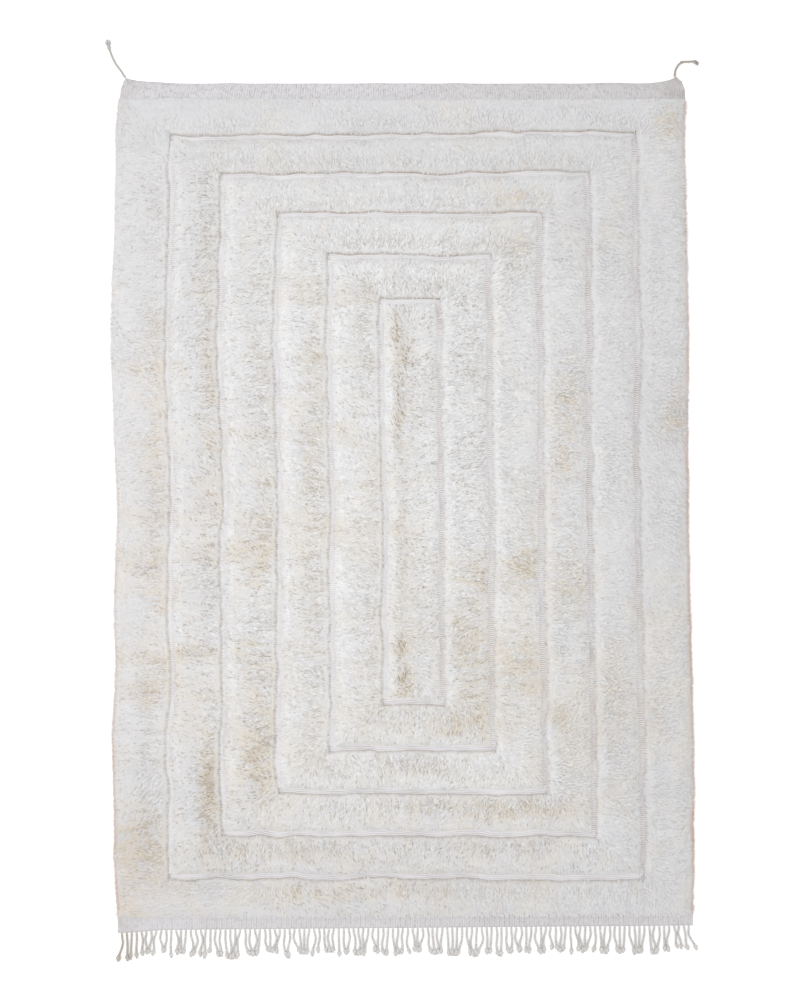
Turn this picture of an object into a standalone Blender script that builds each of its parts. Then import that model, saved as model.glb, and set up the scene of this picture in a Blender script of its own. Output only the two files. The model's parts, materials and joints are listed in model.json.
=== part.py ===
import math
import random

import bmesh
import bpy
from mathutils import Vector, noise

# A hand-knotted wool rug lying flat, in metres. X runs across it, Y along it from the
# fringed end to the plain end, and Z up from the floor. Five nested flat-woven
# channels cut the deep pile into six bands.

# the cloth
fringeEndY = -1.4245
clothLength = 2.932
weaveThick = 0.005
fringeEndBand = 0.042
plainEndBand = 0.050
plainShoulder = 0.022
fringeEndRise = 0.0085
fringeRiseReach = 0.16

# how far each corner of the plain end is drawn up, and over what share of the width
plainCorners = {"left": (0.018, 0.030), "right": (0.022, 0.016)}

# distance from the fringed end, then the left and right selvedges
selvedges = [
    {"along": 0.000, "left": -0.9990, "right": 0.9980},
    {"along": 0.270, "left": -1.0100, "right": 1.0000},
    {"along": 0.650, "left": -1.0170, "right": 1.0000},
    {"along": 0.900, "left": -1.0065, "right": 0.9940},
    {"along": 1.150, "left": -1.0100, "right": 0.9870},
    {"along": 1.450, "left": -1.0000, "right": 0.9810},
    {"along": 1.700, "left": -1.0100, "right": 0.9795},
    {"along": 1.950, "left": -1.0205, "right": 0.9830},
    {"along": 2.200, "left": -1.0190, "right": 0.9795},
    {"along": 2.450, "left": -1.0095, "right": 0.9730},
    {"along": 2.700, "left": -1.0050, "right": 0.9685},
    {"along": 2.870, "left": -1.0000, "right": 0.9655},
    {"along": 2.910, "left": -0.9950, "right": 0.9600},
    {"along": 2.932, "left": -0.9715, "right": 0.9340},
]

# the pile
pileTop = 0.029
lumpHeight = 0.009
wallHeight = 0.021
wallRun = 0.006
crownRun = 0.045
channelWidth = 0.022
wallWobble = 0.004

# lumps and wobbles for each metre: the walls', then the broad and the small lumps
wobbleRate = 5.5
lumpRates = {"broad": (9, 7, 1.0), "small": (19, 15, 0.6)}

# each channel's outer wall: shares of the warps on the left and right, distances
# from the fringed end at the bottom and top, and how far its top run climbs rightwards
channels = [
    {"left": 0.0945, "right": 0.9145, "bottom": 0.168, "top": 2.757, "climb": 0.010},
    {"left": 0.1850, "right": 0.8310, "bottom": 0.317, "top": 2.622, "climb": 0.007},
    {"left": 0.2820, "right": 0.7465, "bottom": 0.463, "top": 2.483, "climb": 0.000},
    {"left": 0.3735, "right": 0.6585, "bottom": 0.615, "top": 2.338, "climb": 0.000},
    {"left": 0.4650, "right": 0.5720, "bottom": 0.771, "top": 2.186, "climb": 0.000},
]

# the mesh: spans along a side and an end, and the half-locks cut in each side span
sideSpans = 30
endSpans = 14
sideCrowding = 0.35
halfLocks = 6
rimStep = 0.002
rimRun = 0.018
rimInset = 0.009
rimLow = 0.003
rimFade = 0.08
lockTip = 0.010
lockNotch = 0.008
lockVaries = 0.003

# the fringe
partGap = 0.0003
stripDepth = 0.006
strandCount = 116
fringeMargin = 0.006
strandHalf = 0.003
knotHalf = 0.0055
knotPitch = 0.0125
strandLength = 0.086
strandVaries = 0.006
strandSway = 0.0015
strandBend = 1.5
leftLean = -0.010
rightLeans = (0.016, 0.026)

# a strand's half width along its length: the yarn, the neck, the knot and the short tail
strandShape = [
    {"share": 0.33, "half": strandHalf},
    {"share": 0.66, "half": strandHalf},
    {"share": 0.81, "half": strandHalf},
    {"share": 0.87, "half": knotHalf},
    {"share": 0.94, "half": knotHalf},
    {"share": 1.00, "half": strandHalf * 0.8},
]

# the corner cords
cordRadius = 0.003
plyDepth = 0.22
twistPitch = 0.018
cordSides = 8
cordSteps = 46
knotRadius = 0.0068
knotPlyDepth = 0.06
tuftPlyDepth = 0.12
tuftSpread = 0.55
knotFrom, knotTo, tuftTo = 0.76, 0.88, 1.06
leftRoute = [
    (-0.9722, 1.5266),
    (-0.9861, 1.5476),
    (-1.0051, 1.5736),
    (-1.0173, 1.5978),
    (-1.0259, 1.6203),
    (-1.0345, 1.6560),
]
rightRoute = [
    (0.9340, 1.5305),
    (0.9376, 1.5534),
    (0.9476, 1.5704),
    (0.9597, 1.5801),
    (0.9791, 1.5818),
    (1.0010, 1.5818),
    (1.0124, 1.5770),
]


def smoothRead(points, at):
    # Catmull-Rom curve through points, read at a share of its spans
    spans = len(points) - 1
    i = min(int(at * spans), spans - 1)
    t = at * spans - i
    p = [Vector(points[min(max(j, 0), spans)]) for j in (i - 1, i, i + 1, i + 2)]
    return 0.5 * (
        2 * p[1]
        + (p[2] - p[0]) * t
        + (2 * p[0] - 5 * p[1] + 4 * p[2] - p[3]) * t * t
        + (3 * p[1] - p[0] - 3 * p[2] + p[3]) * t**3
    )


def selvedgeAt(along):
    # smooth steps between the table's rows
    for low, high in zip(selvedges, selvedges[1:]):
        if along <= high["along"] or high is selvedges[-1]:
            t = (along - low["along"]) / (high["along"] - low["along"])
            t = min(max(t, 0.0), 1.0)
            ease = t * t * (3 - 2 * t)
            return [low[side] + (high[side] - low[side]) * ease for side in ("left", "right")]


def clothY(across, along):
    # across is a share of the warps, along a distance from the fringed end, whose edge
    # climbs a little to the right
    climb = fringeEndRise * (2 * across - 1) * max(0.0, 1 - along / fringeRiseReach)
    return fringeEndY + along + climb


def peak(across):
    # the plain end is drawn up to a point at each corner
    rise = 0.0
    for share, (height, reach) in zip((across, 1 - across), plainCorners.values()):
        rise += height * math.exp(-share / reach)
    return rise


def endShare(i):
    # points on an end crowd towards its corners
    return 0.5 - 0.5 * math.cos(math.pi * i / endSpans)


def sideShare(i):
    # and those on a side crowd a little less
    t = i / sideSpans
    return t - sideCrowding * math.sin(2 * math.pi * t) / (2 * math.pi)


def ringShares():
    # one turn round a ring, from the fringed end's left corner: bottom, right, top, left
    turn = [("bottom", endShare(i)) for i in range(endSpans)]
    turn += [("right", sideShare(i)) for i in range(sideSpans)]
    turn += [("top", 1 - endShare(i)) for i in range(endSpans)]
    turn += [("left", 1 - sideShare(i)) for i in range(sideSpans)]
    return turn


def ringAt(walls, step, height, lump, wobble=1.0):
    # points of a ring that lies step inside some walls, or outside them if step is negative
    bottom, top = walls["bottom"] + step, walls["top"] - step
    found = []
    for side, share in ringShares():
        along = {"bottom": bottom, "top": top}.get(side, bottom + share * (top - bottom))
        left, right = selvedgeAt(along)
        first = left + walls["left"] * (right - left) + step
        last = left + walls["right"] * (right - left) - step
        x = {"left": first, "right": last}.get(side, first + share * (last - first))
        across = (x - left) / (right - left)
        y = clothY(across, along)
        if side == "top":
            y += walls["climb"] * (2 * across - 1)
        x += wobble * wallWobble * noise.noise(Vector((y * wobbleRate, side == "left", 3.1)))
        y += wobble * wallWobble * noise.noise(Vector((x * wobbleRate, side == "top", 7.7)))
        rise = 0.0
        for acrossRate, alongRate, strength in lumpRates.values():
            rise += strength * noise.noise(Vector((x * acrossRate, y * alongRate, acrossRate + 0.4)))
        found.append(Vector((x, y, height + lump * lumpHeight * rise)))
    return found


def bandRings():
    # every ring of the pile from the rug's rim to the middle of its central band
    rim = {
        "left": 0.0,
        "right": 1.0,
        "bottom": fringeEndBand,
        "top": clothLength - plainEndBand,
        "climb": 0.0,
    }
    rings = [
        ringAt(rim, 0.0, weaveThick, 0.0, 0.0),
        ringAt(rim, rimStep, lockTip, 0.0, 0.0),
        ringAt(rim, rimRun, wallHeight, 0.5),
        ringAt(rim, crownRun, pileTop, 1.0),
    ]
    for channel in channels:
        rings += [
            ringAt(channel, -crownRun, pileTop, 1.0),
            ringAt(channel, -wallRun, wallHeight, 0.6),
            ringAt(channel, 0.0, weaveThick, 0.0),
            ringAt(channel, channelWidth, weaveThick, 0.0),
            ringAt(channel, channelWidth + wallRun, wallHeight, 0.6),
            ringAt(channel, channelWidth + crownRun, pileTop, 1.0),
        ]
    return rings


def newObject(name, mesh, material):
    mesh.materials.append(material)
    obj = bpy.data.objects.new(name, mesh)
    bpy.context.scene.collection.objects.link(obj)
    return obj


def finishMesh(bm, name):
    bmesh.ops.recalc_face_normals(bm, faces=bm.faces)
    mesh = bpy.data.meshes.new(name)
    bm.to_mesh(mesh)
    bm.free()
    mesh.shade_smooth()
    mesh.set_sharp_from_angle(angle=math.radians(40))
    return mesh


def closeStrip(bm, outer, inner):
    # a closed strip of quads between two rings of equal count
    for i in range(len(outer)):
        j = (i + 1) % len(outer)
        bm.faces.new((outer[i], outer[j], inner[j], inner[i]))


def endBand(bm, pileRow, alongs, top):
    # the flat-woven band from the pile's end row out to the cloth's edge, row by row
    rows = [pileRow]
    for along in alongs:
        left, right = selvedgeAt(along)
        row = []
        for i in range(endSpans + 1):
            across = 1 - endShare(i) if top else endShare(i)
            y = clothY(across, along)
            if top:
                y += peak(across) * (along - clothLength + plainEndBand) / plainEndBand
            row.append(bm.verts.new((left + across * (right - left), y, weaveThick)))
        for i in range(endSpans):
            bm.faces.new((rows[-1][i], rows[-1][i + 1], row[i + 1], row[i]))
        rows.append(row)
    return rows[1:]


def centralBand(bm, inner):
    # the last ring is filled from its left side to its right side, row by row
    bottom = inner[: endSpans + 1]
    right = inner[endSpans : endSpans + sideSpans + 1]
    top = inner[endSpans + sideSpans : 2 * endSpans + sideSpans + 1]
    left = [inner[0]] + inner[: 2 * endSpans + sideSpans - 1 : -1]
    for i in range(sideSpans):
        row = [left[i], right[i], right[i + 1], left[i + 1]]
        if i == 0:
            row = bottom + [right[1], left[1]]
        if i == sideSpans - 1:
            row = [left[i], right[i]] + top
        bm.faces.new(row)


def rimRing(points, tips):
    # a rim ring, its side spans cut finer. The pile's locks hang over the selvedge as the
    # tips, and the selvedge is drawn in under them.
    low, high = points[0].y, points[endSpans + sideSpans].y
    found = []
    for i, (side, _) in enumerate(ringShares()):
        ahead = points[(i + 1) % len(points)]
        pieces = halfLocks if side in ("left", "right") else 1
        found += [points[i].lerp(ahead, k / pieces) for k in range(pieces)]
    for i, point in enumerate(found):
        out = 1 if point.x > 0 else -1
        fade = max(min((point.y - low) / rimFade, (high - point.y) / rimFade, 1.0), 0.0)
        if tips:
            chance = noise.noise(Vector((i * 1.7, out, 2.2)))
            point.x -= out * (lockNotch * (i % 2) + lockVaries * chance) * fade
            point.z += lockVaries * (chance - i % 2) * fade
        else:
            point.x -= out * rimInset * fade
            point.z += (rimLow - weaveThick) * fade
    return found


def makeBody(material):
    bm = bmesh.new()
    rings = bandRings()
    rim, tips = [[bm.verts.new(p) for p in rimRing(rings[i], i == 1)] for i in range(2)]
    rings = [[bm.verts.new(p) for p in ring] for ring in rings[2:]]
    closeStrip(bm, rim, tips)
    first = 0
    for i, (side, _) in enumerate(ringShares()):
        after = first + (halfLocks if side in ("left", "right") else 1)
        span = [tips[k % len(tips)] for k in range(first, after + 1)]
        bm.faces.new(span + [rings[0][(i + 1) % len(rings[0])], rings[0][i]])
        first = after
    for outer, inner in zip(rings, rings[1:]):
        closeStrip(bm, outer, inner)
    centralBand(bm, rings[-1])

    half = endSpans + sideSpans * halfLocks
    bottom = endBand(bm, rim[: endSpans + 1], (fringeEndBand / 2, 0.0), False)
    topRows = (clothLength - plainShoulder, clothLength)
    top = endBand(bm, rim[half : half + endSpans + 1], topRows, True)
    outline = bottom[1] + [bottom[0][-1]] + rim[endSpans : half + 1] + [top[0][0]]
    outline += top[1] + [top[0][-1]] + rim[half + endSpans :] + [rim[0], bottom[0][0]]
    floor = [bm.verts.new((v.co.x, v.co.y, 0.0)) for v in outline]
    closeStrip(bm, outline, floor)
    bm.faces.new(floor)
    bmesh.ops.triangulate(bm, faces=[f for f in bm.faces if len(f.verts) > 3])
    return newObject("rug_body", finishMesh(bm, "rug_body"), material)


def strandPlan():
    # each strand's root, tip and length. The knots gather in twos, threes and fours.
    rng = random.Random(11)
    left, right = selvedgeAt(0.0)
    pitch = (right - left - 2 * fringeMargin) / strandCount
    plan = []
    while len(plan) < strandCount:
        size = min(rng.choice((2, 3, 3, 4)), strandCount - len(plan))
        first = left + fringeMargin + pitch * (len(plan) + 0.5)
        middle = first + pitch * (size - 1) / 2 + rng.uniform(-1, 1) * knotPitch / 4
        for j in range(size):
            strand = {"root": first + pitch * j, "tip": middle + (j - (size - 1) / 2) * knotPitch}
            strand["length"] = strandLength + rng.uniform(-1, 1) * strandVaries
            strand["sway"] = rng.uniform(-1, 1) * strandSway
            plan.append(strand)
    # the outermost strands lean away from the cloth
    for i, lean in zip((0, -2, -1), (leftLean, *rightLeans)):
        plan[i]["tip"] = plan[i]["root"] + lean
    return plan


def strandStations(strand, rootY):
    # where a strand's middle runs, and its half width there
    stations = []
    for row in strandShape:
        share = row["share"]
        x = strand["root"] + (strand["tip"] - strand["root"]) * share**strandBend
        x += strand["sway"] * math.sin(2 * math.pi * share)
        stations.append((x, rootY - strand["length"] * share, row["half"]))
    return stations


def makeFringe(material):
    # a narrow strip along the cloth's fringed edge, whose front faces grow into strands
    bm = bmesh.new()
    left, right = selvedgeAt(0.0)

    def stripY(x):
        return clothY((x - left) / (right - left), 0.0) - partGap

    plan = strandPlan()
    cuts = [left + 0.001]
    for strand in plan:
        cuts += [strand["root"] - strandHalf, strand["root"] + strandHalf]
    cuts.append(right - 0.001)
    low = [bm.verts.new((x, stripY(x) - stripDepth, 0.0)) for x in cuts]
    high = [bm.verts.new((x, stripY(x) - stripDepth, weaveThick)) for x in cuts]
    backLow = [bm.verts.new((x, stripY(x), 0.0)) for x in (cuts[-1], cuts[0])]
    backHigh = [bm.verts.new((x, stripY(x), weaveThick)) for x in (cuts[-1], cuts[0])]
    bm.faces.new(high + backHigh)
    bm.faces.new(low + backLow)
    bm.faces.new(backLow + backHigh[::-1])
    bm.faces.new((low[0], high[0], backHigh[1], backLow[1]))
    bm.faces.new((low[-1], high[-1], backHigh[0], backLow[0]))
    fronts = [bm.faces.new((low[i], low[i + 1], high[i + 1], high[i])) for i in range(len(cuts) - 1)]
    for strand, face in zip(plan, fronts[1::2]):
        last = (strand["root"], stripY(strand["root"]) - stripDepth)
        for x, y, half in strandStations(strand, last[1]):
            face = bmesh.ops.extrude_discrete_faces(bm, faces=[face])["faces"][0]
            ahead = Vector((x - last[0], y - last[1])).normalized()
            across = Vector((-ahead.y, ahead.x)) * half
            last = (x, y)
            for vert, (side, up) in zip(orderedCorners(face), ((-1, 0), (1, 0), (1, 1), (-1, 1))):
                vert.co = (x + side * across.x, y + side * across.y, up * 2 * half)
    bmesh.ops.triangulate(bm, faces=[f for f in bm.faces if len(f.verts) > 3])
    return newObject("fringe", finishMesh(bm, "fringe"), material)


def orderedCorners(face):
    # low left, low right, high right, high left, as seen from the fringe's tips
    verts = sorted(face.verts, key=lambda v: v.co.z)
    low = sorted(verts[:2], key=lambda v: v.co.x)
    high = sorted(verts[2:], key=lambda v: v.co.x)
    return low[0], low[1], high[1], high[0]


def cordSection(share):
    # the cord's radius and how far its two plies stand out, at a share of its length
    if share < knotFrom:
        return cordRadius, plyDepth
    if share < knotTo:
        bulge = math.sin(math.pi * (share - knotFrom) / (knotTo - knotFrom))
        return cordRadius + (knotRadius - cordRadius) * bulge**0.7, knotPlyDepth
    flare = math.sin(math.pi * (share - knotTo) / (tuftTo - knotTo))
    return cordRadius + tuftSpread * (knotRadius - cordRadius) * flare, tuftPlyDepth


def makeCord(name, route, material):
    # two plies twisted round each other, ending in a knot with a short tuft
    bm = bmesh.new()
    centres = [smoothRead(route, i / cordSteps) for i in range(cordSteps + 1)]
    gone = 0.0
    last = None
    for i, centre in enumerate(centres):
        before, after = centres[max(i - 1, 0)], centres[min(i + 1, cordSteps)]
        ahead = (after - before).normalized()
        side = Vector((-ahead.y, ahead.x))
        gone += (centre - centres[max(i - 1, 0)]).length
        radius, ply = cordSection(i / cordSteps)
        turn = 2 * math.pi * gone / twistPitch
        lift = radius * (1 + ply)
        ring = []
        for k in range(cordSides):
            angle = 2 * math.pi * k / cordSides
            reach = radius * (1 + ply * math.cos(2 * (angle - turn)))
            place = centre + side * reach * math.cos(angle)
            ring.append(bm.verts.new((place.x, place.y, lift + reach * math.sin(angle))))
        if last:
            closeStrip(bm, last, ring)
        else:
            bm.faces.new(ring)
        last = ring
    bm.faces.new(last)
    bmesh.ops.triangulate(bm, faces=[f for f in bm.faces if len(f.verts) > 3])
    return newObject(name, finishMesh(bm, name), material)


def woolMaterial(name, colour):
    material = bpy.data.materials.new(name)
    material.use_nodes = True
    shader = material.node_tree.nodes["Principled BSDF"]
    shader.inputs["Base Color"].default_value = (*colour, 1.0)
    shader.inputs["Roughness"].default_value = 0.9
    shader.inputs["Metallic"].default_value = 0.0
    return material


for obj in list(bpy.context.scene.objects):
    bpy.data.objects.remove(obj)

woolPile = woolMaterial("wool_pile", (0.80, 0.77, 0.72))
warpYarn = woolMaterial("warp_yarn", (0.72, 0.69, 0.64))
makeBody(woolPile)
makeFringe(warpYarn)
makeCord("corner_cord_left", leftRoute, warpYarn)
makeCord("corner_cord_right", rightRoute, warpYarn)
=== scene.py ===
import json
import math
import random
from types import SimpleNamespace

import bpy
import numpy as np
from mathutils import Vector, noise
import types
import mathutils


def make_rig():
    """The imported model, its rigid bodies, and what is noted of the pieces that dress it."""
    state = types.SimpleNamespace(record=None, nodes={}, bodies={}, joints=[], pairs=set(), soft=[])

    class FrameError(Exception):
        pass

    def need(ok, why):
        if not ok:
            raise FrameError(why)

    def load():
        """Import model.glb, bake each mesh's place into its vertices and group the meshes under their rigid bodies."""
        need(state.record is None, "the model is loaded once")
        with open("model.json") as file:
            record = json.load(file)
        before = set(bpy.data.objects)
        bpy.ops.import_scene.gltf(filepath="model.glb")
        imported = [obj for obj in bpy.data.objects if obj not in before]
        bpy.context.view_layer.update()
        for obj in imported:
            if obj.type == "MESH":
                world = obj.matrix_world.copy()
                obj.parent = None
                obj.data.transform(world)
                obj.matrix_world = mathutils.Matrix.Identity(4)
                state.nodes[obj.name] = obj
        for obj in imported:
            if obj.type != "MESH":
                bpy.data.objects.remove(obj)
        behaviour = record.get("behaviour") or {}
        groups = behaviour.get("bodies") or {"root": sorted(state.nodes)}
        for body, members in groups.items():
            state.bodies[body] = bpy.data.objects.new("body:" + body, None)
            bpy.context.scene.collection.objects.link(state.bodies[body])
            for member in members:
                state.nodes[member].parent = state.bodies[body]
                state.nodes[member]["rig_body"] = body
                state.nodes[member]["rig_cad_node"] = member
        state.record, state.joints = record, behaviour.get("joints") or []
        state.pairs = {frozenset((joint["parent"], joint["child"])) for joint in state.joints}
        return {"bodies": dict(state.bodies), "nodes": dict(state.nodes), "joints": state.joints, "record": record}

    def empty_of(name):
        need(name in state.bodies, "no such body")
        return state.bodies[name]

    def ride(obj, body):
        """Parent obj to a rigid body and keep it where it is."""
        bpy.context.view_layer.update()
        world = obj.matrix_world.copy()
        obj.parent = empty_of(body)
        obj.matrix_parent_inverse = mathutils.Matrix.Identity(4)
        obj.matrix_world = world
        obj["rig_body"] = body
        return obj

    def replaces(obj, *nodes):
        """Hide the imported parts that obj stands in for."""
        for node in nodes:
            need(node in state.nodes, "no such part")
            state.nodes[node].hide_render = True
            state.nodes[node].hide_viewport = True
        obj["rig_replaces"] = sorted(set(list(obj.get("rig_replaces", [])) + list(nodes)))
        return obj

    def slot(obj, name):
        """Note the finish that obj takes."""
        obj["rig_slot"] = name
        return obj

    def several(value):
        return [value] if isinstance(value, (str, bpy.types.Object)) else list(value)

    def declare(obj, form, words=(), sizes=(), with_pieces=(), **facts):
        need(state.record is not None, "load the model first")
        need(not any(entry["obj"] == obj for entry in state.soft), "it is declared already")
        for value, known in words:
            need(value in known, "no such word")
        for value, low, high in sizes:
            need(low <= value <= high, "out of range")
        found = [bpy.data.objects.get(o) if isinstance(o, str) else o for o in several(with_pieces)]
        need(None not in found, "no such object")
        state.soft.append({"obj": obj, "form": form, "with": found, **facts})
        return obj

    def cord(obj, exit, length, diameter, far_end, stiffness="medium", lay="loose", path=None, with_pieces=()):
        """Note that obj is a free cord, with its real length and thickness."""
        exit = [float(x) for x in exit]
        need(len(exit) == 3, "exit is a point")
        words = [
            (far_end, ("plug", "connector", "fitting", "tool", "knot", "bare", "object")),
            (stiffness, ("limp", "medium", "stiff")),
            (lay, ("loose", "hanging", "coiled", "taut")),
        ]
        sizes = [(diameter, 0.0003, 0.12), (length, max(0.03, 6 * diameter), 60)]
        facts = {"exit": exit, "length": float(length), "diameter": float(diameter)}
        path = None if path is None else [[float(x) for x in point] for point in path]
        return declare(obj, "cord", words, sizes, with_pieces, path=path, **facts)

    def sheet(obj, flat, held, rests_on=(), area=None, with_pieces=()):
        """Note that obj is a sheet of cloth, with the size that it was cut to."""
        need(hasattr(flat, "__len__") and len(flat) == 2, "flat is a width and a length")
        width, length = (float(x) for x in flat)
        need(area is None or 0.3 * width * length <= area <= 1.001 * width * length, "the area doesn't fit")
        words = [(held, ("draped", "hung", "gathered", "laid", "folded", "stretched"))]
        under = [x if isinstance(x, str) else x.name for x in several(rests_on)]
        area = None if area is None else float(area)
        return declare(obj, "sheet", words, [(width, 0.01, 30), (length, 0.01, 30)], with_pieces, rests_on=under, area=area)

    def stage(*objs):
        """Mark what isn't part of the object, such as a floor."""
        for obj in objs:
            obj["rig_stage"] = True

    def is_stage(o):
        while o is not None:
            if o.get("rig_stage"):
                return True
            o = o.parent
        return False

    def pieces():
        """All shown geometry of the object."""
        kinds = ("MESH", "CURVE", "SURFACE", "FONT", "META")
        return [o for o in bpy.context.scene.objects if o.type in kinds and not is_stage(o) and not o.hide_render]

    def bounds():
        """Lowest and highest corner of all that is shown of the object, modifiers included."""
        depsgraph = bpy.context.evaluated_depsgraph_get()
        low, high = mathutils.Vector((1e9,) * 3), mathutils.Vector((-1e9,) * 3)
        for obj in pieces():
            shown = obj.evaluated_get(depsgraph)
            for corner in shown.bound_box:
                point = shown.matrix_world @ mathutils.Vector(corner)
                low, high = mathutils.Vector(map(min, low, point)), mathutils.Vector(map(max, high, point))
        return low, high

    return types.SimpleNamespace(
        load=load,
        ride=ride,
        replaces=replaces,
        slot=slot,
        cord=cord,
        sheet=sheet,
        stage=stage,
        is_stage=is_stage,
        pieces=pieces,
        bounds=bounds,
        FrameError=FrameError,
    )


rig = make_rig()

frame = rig.load()
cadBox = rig.bounds()
bpy.ops.object.select_all(action="DESELECT")
print("frame loaded")

# the camera is straight above the rug, with the fringe towards the bottom of the view
cameraSetup = {
    "centre": (-0.0190, 0.0607),
    "planeHeight": 0.015,
    "frameHeight": 3.466,
    "lens": 70.0,
    "sensor": 36.0,
}


def addCamera(setup):
    away = setup["frameHeight"] * setup["lens"] / setup["sensor"]
    place = (*setup["centre"], setup["planeHeight"] + away)
    bpy.ops.object.camera_add(location=place, rotation=(0.0, 0.0, 0.0))
    camera = bpy.context.object
    camera.name = "overheadCamera"
    camera.data.lens = setup["lens"]
    camera.data.sensor_width = setup["sensor"]
    bpy.context.scene.camera = camera


addCamera(cameraSetup)
print("camera placed")


# materials are made of plain nodes, and these helpers add them
def newMaterial(name):
    material = bpy.data.materials.new(name)
    material.use_nodes = True
    tree = material.node_tree
    return material, tree, tree.nodes["Principled BSDF"]


def addNode(tree, kind, **settings):
    node = tree.nodes.new(kind)
    for key, value in settings.items():
        setattr(node, key, value)
    return node


def objectNoise(tree, scale, detail):
    coords = addNode(tree, "ShaderNodeTexCoord")
    found = addNode(tree, "ShaderNodeTexNoise")
    found.inputs["Scale"].default_value = scale
    found.inputs["Detail"].default_value = detail
    tree.links.new(coords.outputs["Object"], found.inputs["Vector"])
    return found.outputs["Fac"]


def blendColour(tree, factor, first, second):
    # a colour is a socket or three numbers
    mix = addNode(tree, "ShaderNodeMix", data_type="RGBA")
    for socket, value in ((mix.inputs[0], factor), (mix.inputs[6], first), (mix.inputs[7], second)):
        if isinstance(value, bpy.types.NodeSocket):
            tree.links.new(value, socket)
        elif isinstance(value, tuple):
            socket.default_value = (*value, 1.0)
        else:
            socket.default_value = value
    return mix.outputs[2]


def remap(tree, value, low, high, toLow=0.0, toHigh=1.0):
    node = addNode(tree, "ShaderNodeMapRange")
    tree.links.new(value, node.inputs["Value"])
    for key, number in (("From Min", low), ("From Max", high), ("To Min", toLow), ("To Max", toHigh)):
        node.inputs[key].default_value = number
    return node.outputs["Result"]


def readAttribute(tree, name):
    return addNode(tree, "ShaderNodeAttribute", attribute_name=name).outputs["Fac"]


def woolSurface(tree, shader, colour, rough, sheen, bumps):
    # bumps are the scale and detail of a noise, how far it stands out and how strongly
    scale, detail, distance, strength = bumps
    tree.links.new(colour, shader.inputs["Base Color"])
    shader.inputs["Roughness"].default_value = rough
    shader.inputs["Specular IOR Level"].default_value = 0.15
    shader.inputs["Sheen Weight"].default_value = sheen
    bump = addNode(tree, "ShaderNodeBump")
    bump.inputs["Strength"].default_value = strength
    bump.inputs["Distance"].default_value = distance
    tree.links.new(objectNoise(tree, scale, detail), bump.inputs["Height"])
    tree.links.new(bump.outputs["Normal"], shader.inputs["Normal"])


def newPiece(name, points, faces, material):
    mesh = bpy.data.meshes.new(name)
    mesh.from_pydata(points, [], faces)
    mesh.materials.append(material)
    mesh.shade_smooth()
    obj = bpy.data.objects.new(name, mesh)
    bpy.context.scene.collection.objects.link(obj)
    return obj


def storeAttribute(obj, name, values):
    layer = obj.data.attributes.new(name, "FLOAT", "POINT")
    layer.data.foreach_set("value", np.asarray(values, dtype=np.float32).ravel())


def finishPiece(obj, slotName, node, masks):
    # masks are values for each point, which the material reads
    for name, values in masks.items():
        storeAttribute(obj, name, values)
    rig.ride(obj, "root")
    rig.replaces(obj, node)
    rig.slot(obj, slotName)
    return obj


def planMap(obj, lean=0.35):
    # a map laid out by the place on the floor, with steep faces leaned a little outwards
    mesh = obj.data
    points = np.empty(len(mesh.vertices) * 3, dtype=np.float32)
    mesh.vertices.foreach_get("co", points)
    points = points.reshape(-1, 3)
    flat = points[:, :2] + lean * points[:, 2:]
    flat = (flat - flat.min(axis=0)) / (flat.max(axis=0) - flat.min(axis=0)).max()
    corners = np.empty(len(mesh.loops), dtype=np.int32)
    mesh.loops.foreach_get("vertex_index", corners)
    layer = mesh.uv_layers.new(name="OFBake")
    layer.data.foreach_set("uv", flat[corners].astype(np.float32).ravel())


def gridFaces(rows, columns, wrap=False):
    # quads between rows of points, each row closing on itself if wrap is set
    found = []
    for i in range(rows - 1):
        for j in range(columns if wrap else columns - 1):
            k = (j + 1) % columns
            near, far = i * columns, (i + 1) * columns
            found.append((near + j, near + k, far + k, far + j))
    return found


def yarnTube(route, radii, depths, pitch, sides, phase=0.0):
    # a tube of two plies along points of a route: its ring turns once in every pitch
    points, count = [], len(route)
    route = [Vector(p) for p in route]
    run = 0.0
    for i, centre in enumerate(route):
        ahead = route[min(i + 1, count - 1)] - route[max(i - 1, 0)]
        run += (centre - route[i - 1]).length if i else 0.0
        ahead.normalize()
        side = ahead.cross(Vector((0, 0, 1))).normalized()
        up = side.cross(ahead)
        turn = 2 * math.pi * run / pitch + phase
        for j in range(sides):
            a = 2 * math.pi * j / sides
            r = radii[i] * (1 + depths[i] * math.cos(2 * (a - turn)))
            points.append(centre + side * (r * math.cos(a)) + up * (r * math.sin(a)))
    faces = [tuple(reversed(f)) for f in gridFaces(count, sides, wrap=True)]
    faces.append(tuple(range(sides)))
    faces.append(tuple(reversed(range((count - 1) * sides, count * sides))))
    return points, faces


def joinTubes(tubes):
    # one list of points and one of faces, from the points and faces of several tubes
    points, faces = [], []
    for made, quads in tubes:
        faces += [tuple(v + len(points) for v in face) for face in quads]
        points += made
    return points, faces


def makeYarn(name, dark, light):
    # light and dark are its two colours, and an attribute browns it in places
    material, tree, shader = newMaterial(name)
    base = blendColour(tree, remap(tree, objectNoise(tree, 150.0, 3.0), 0.3, 0.7), dark, light)
    base = blendColour(tree, readAttribute(tree, "brownShare"), base, (0.50, 0.43, 0.36))
    woolSurface(tree, shader, base, 0.9, 0.2, (800.0, 2.0, 0.0008, 0.7))
    return material


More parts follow.
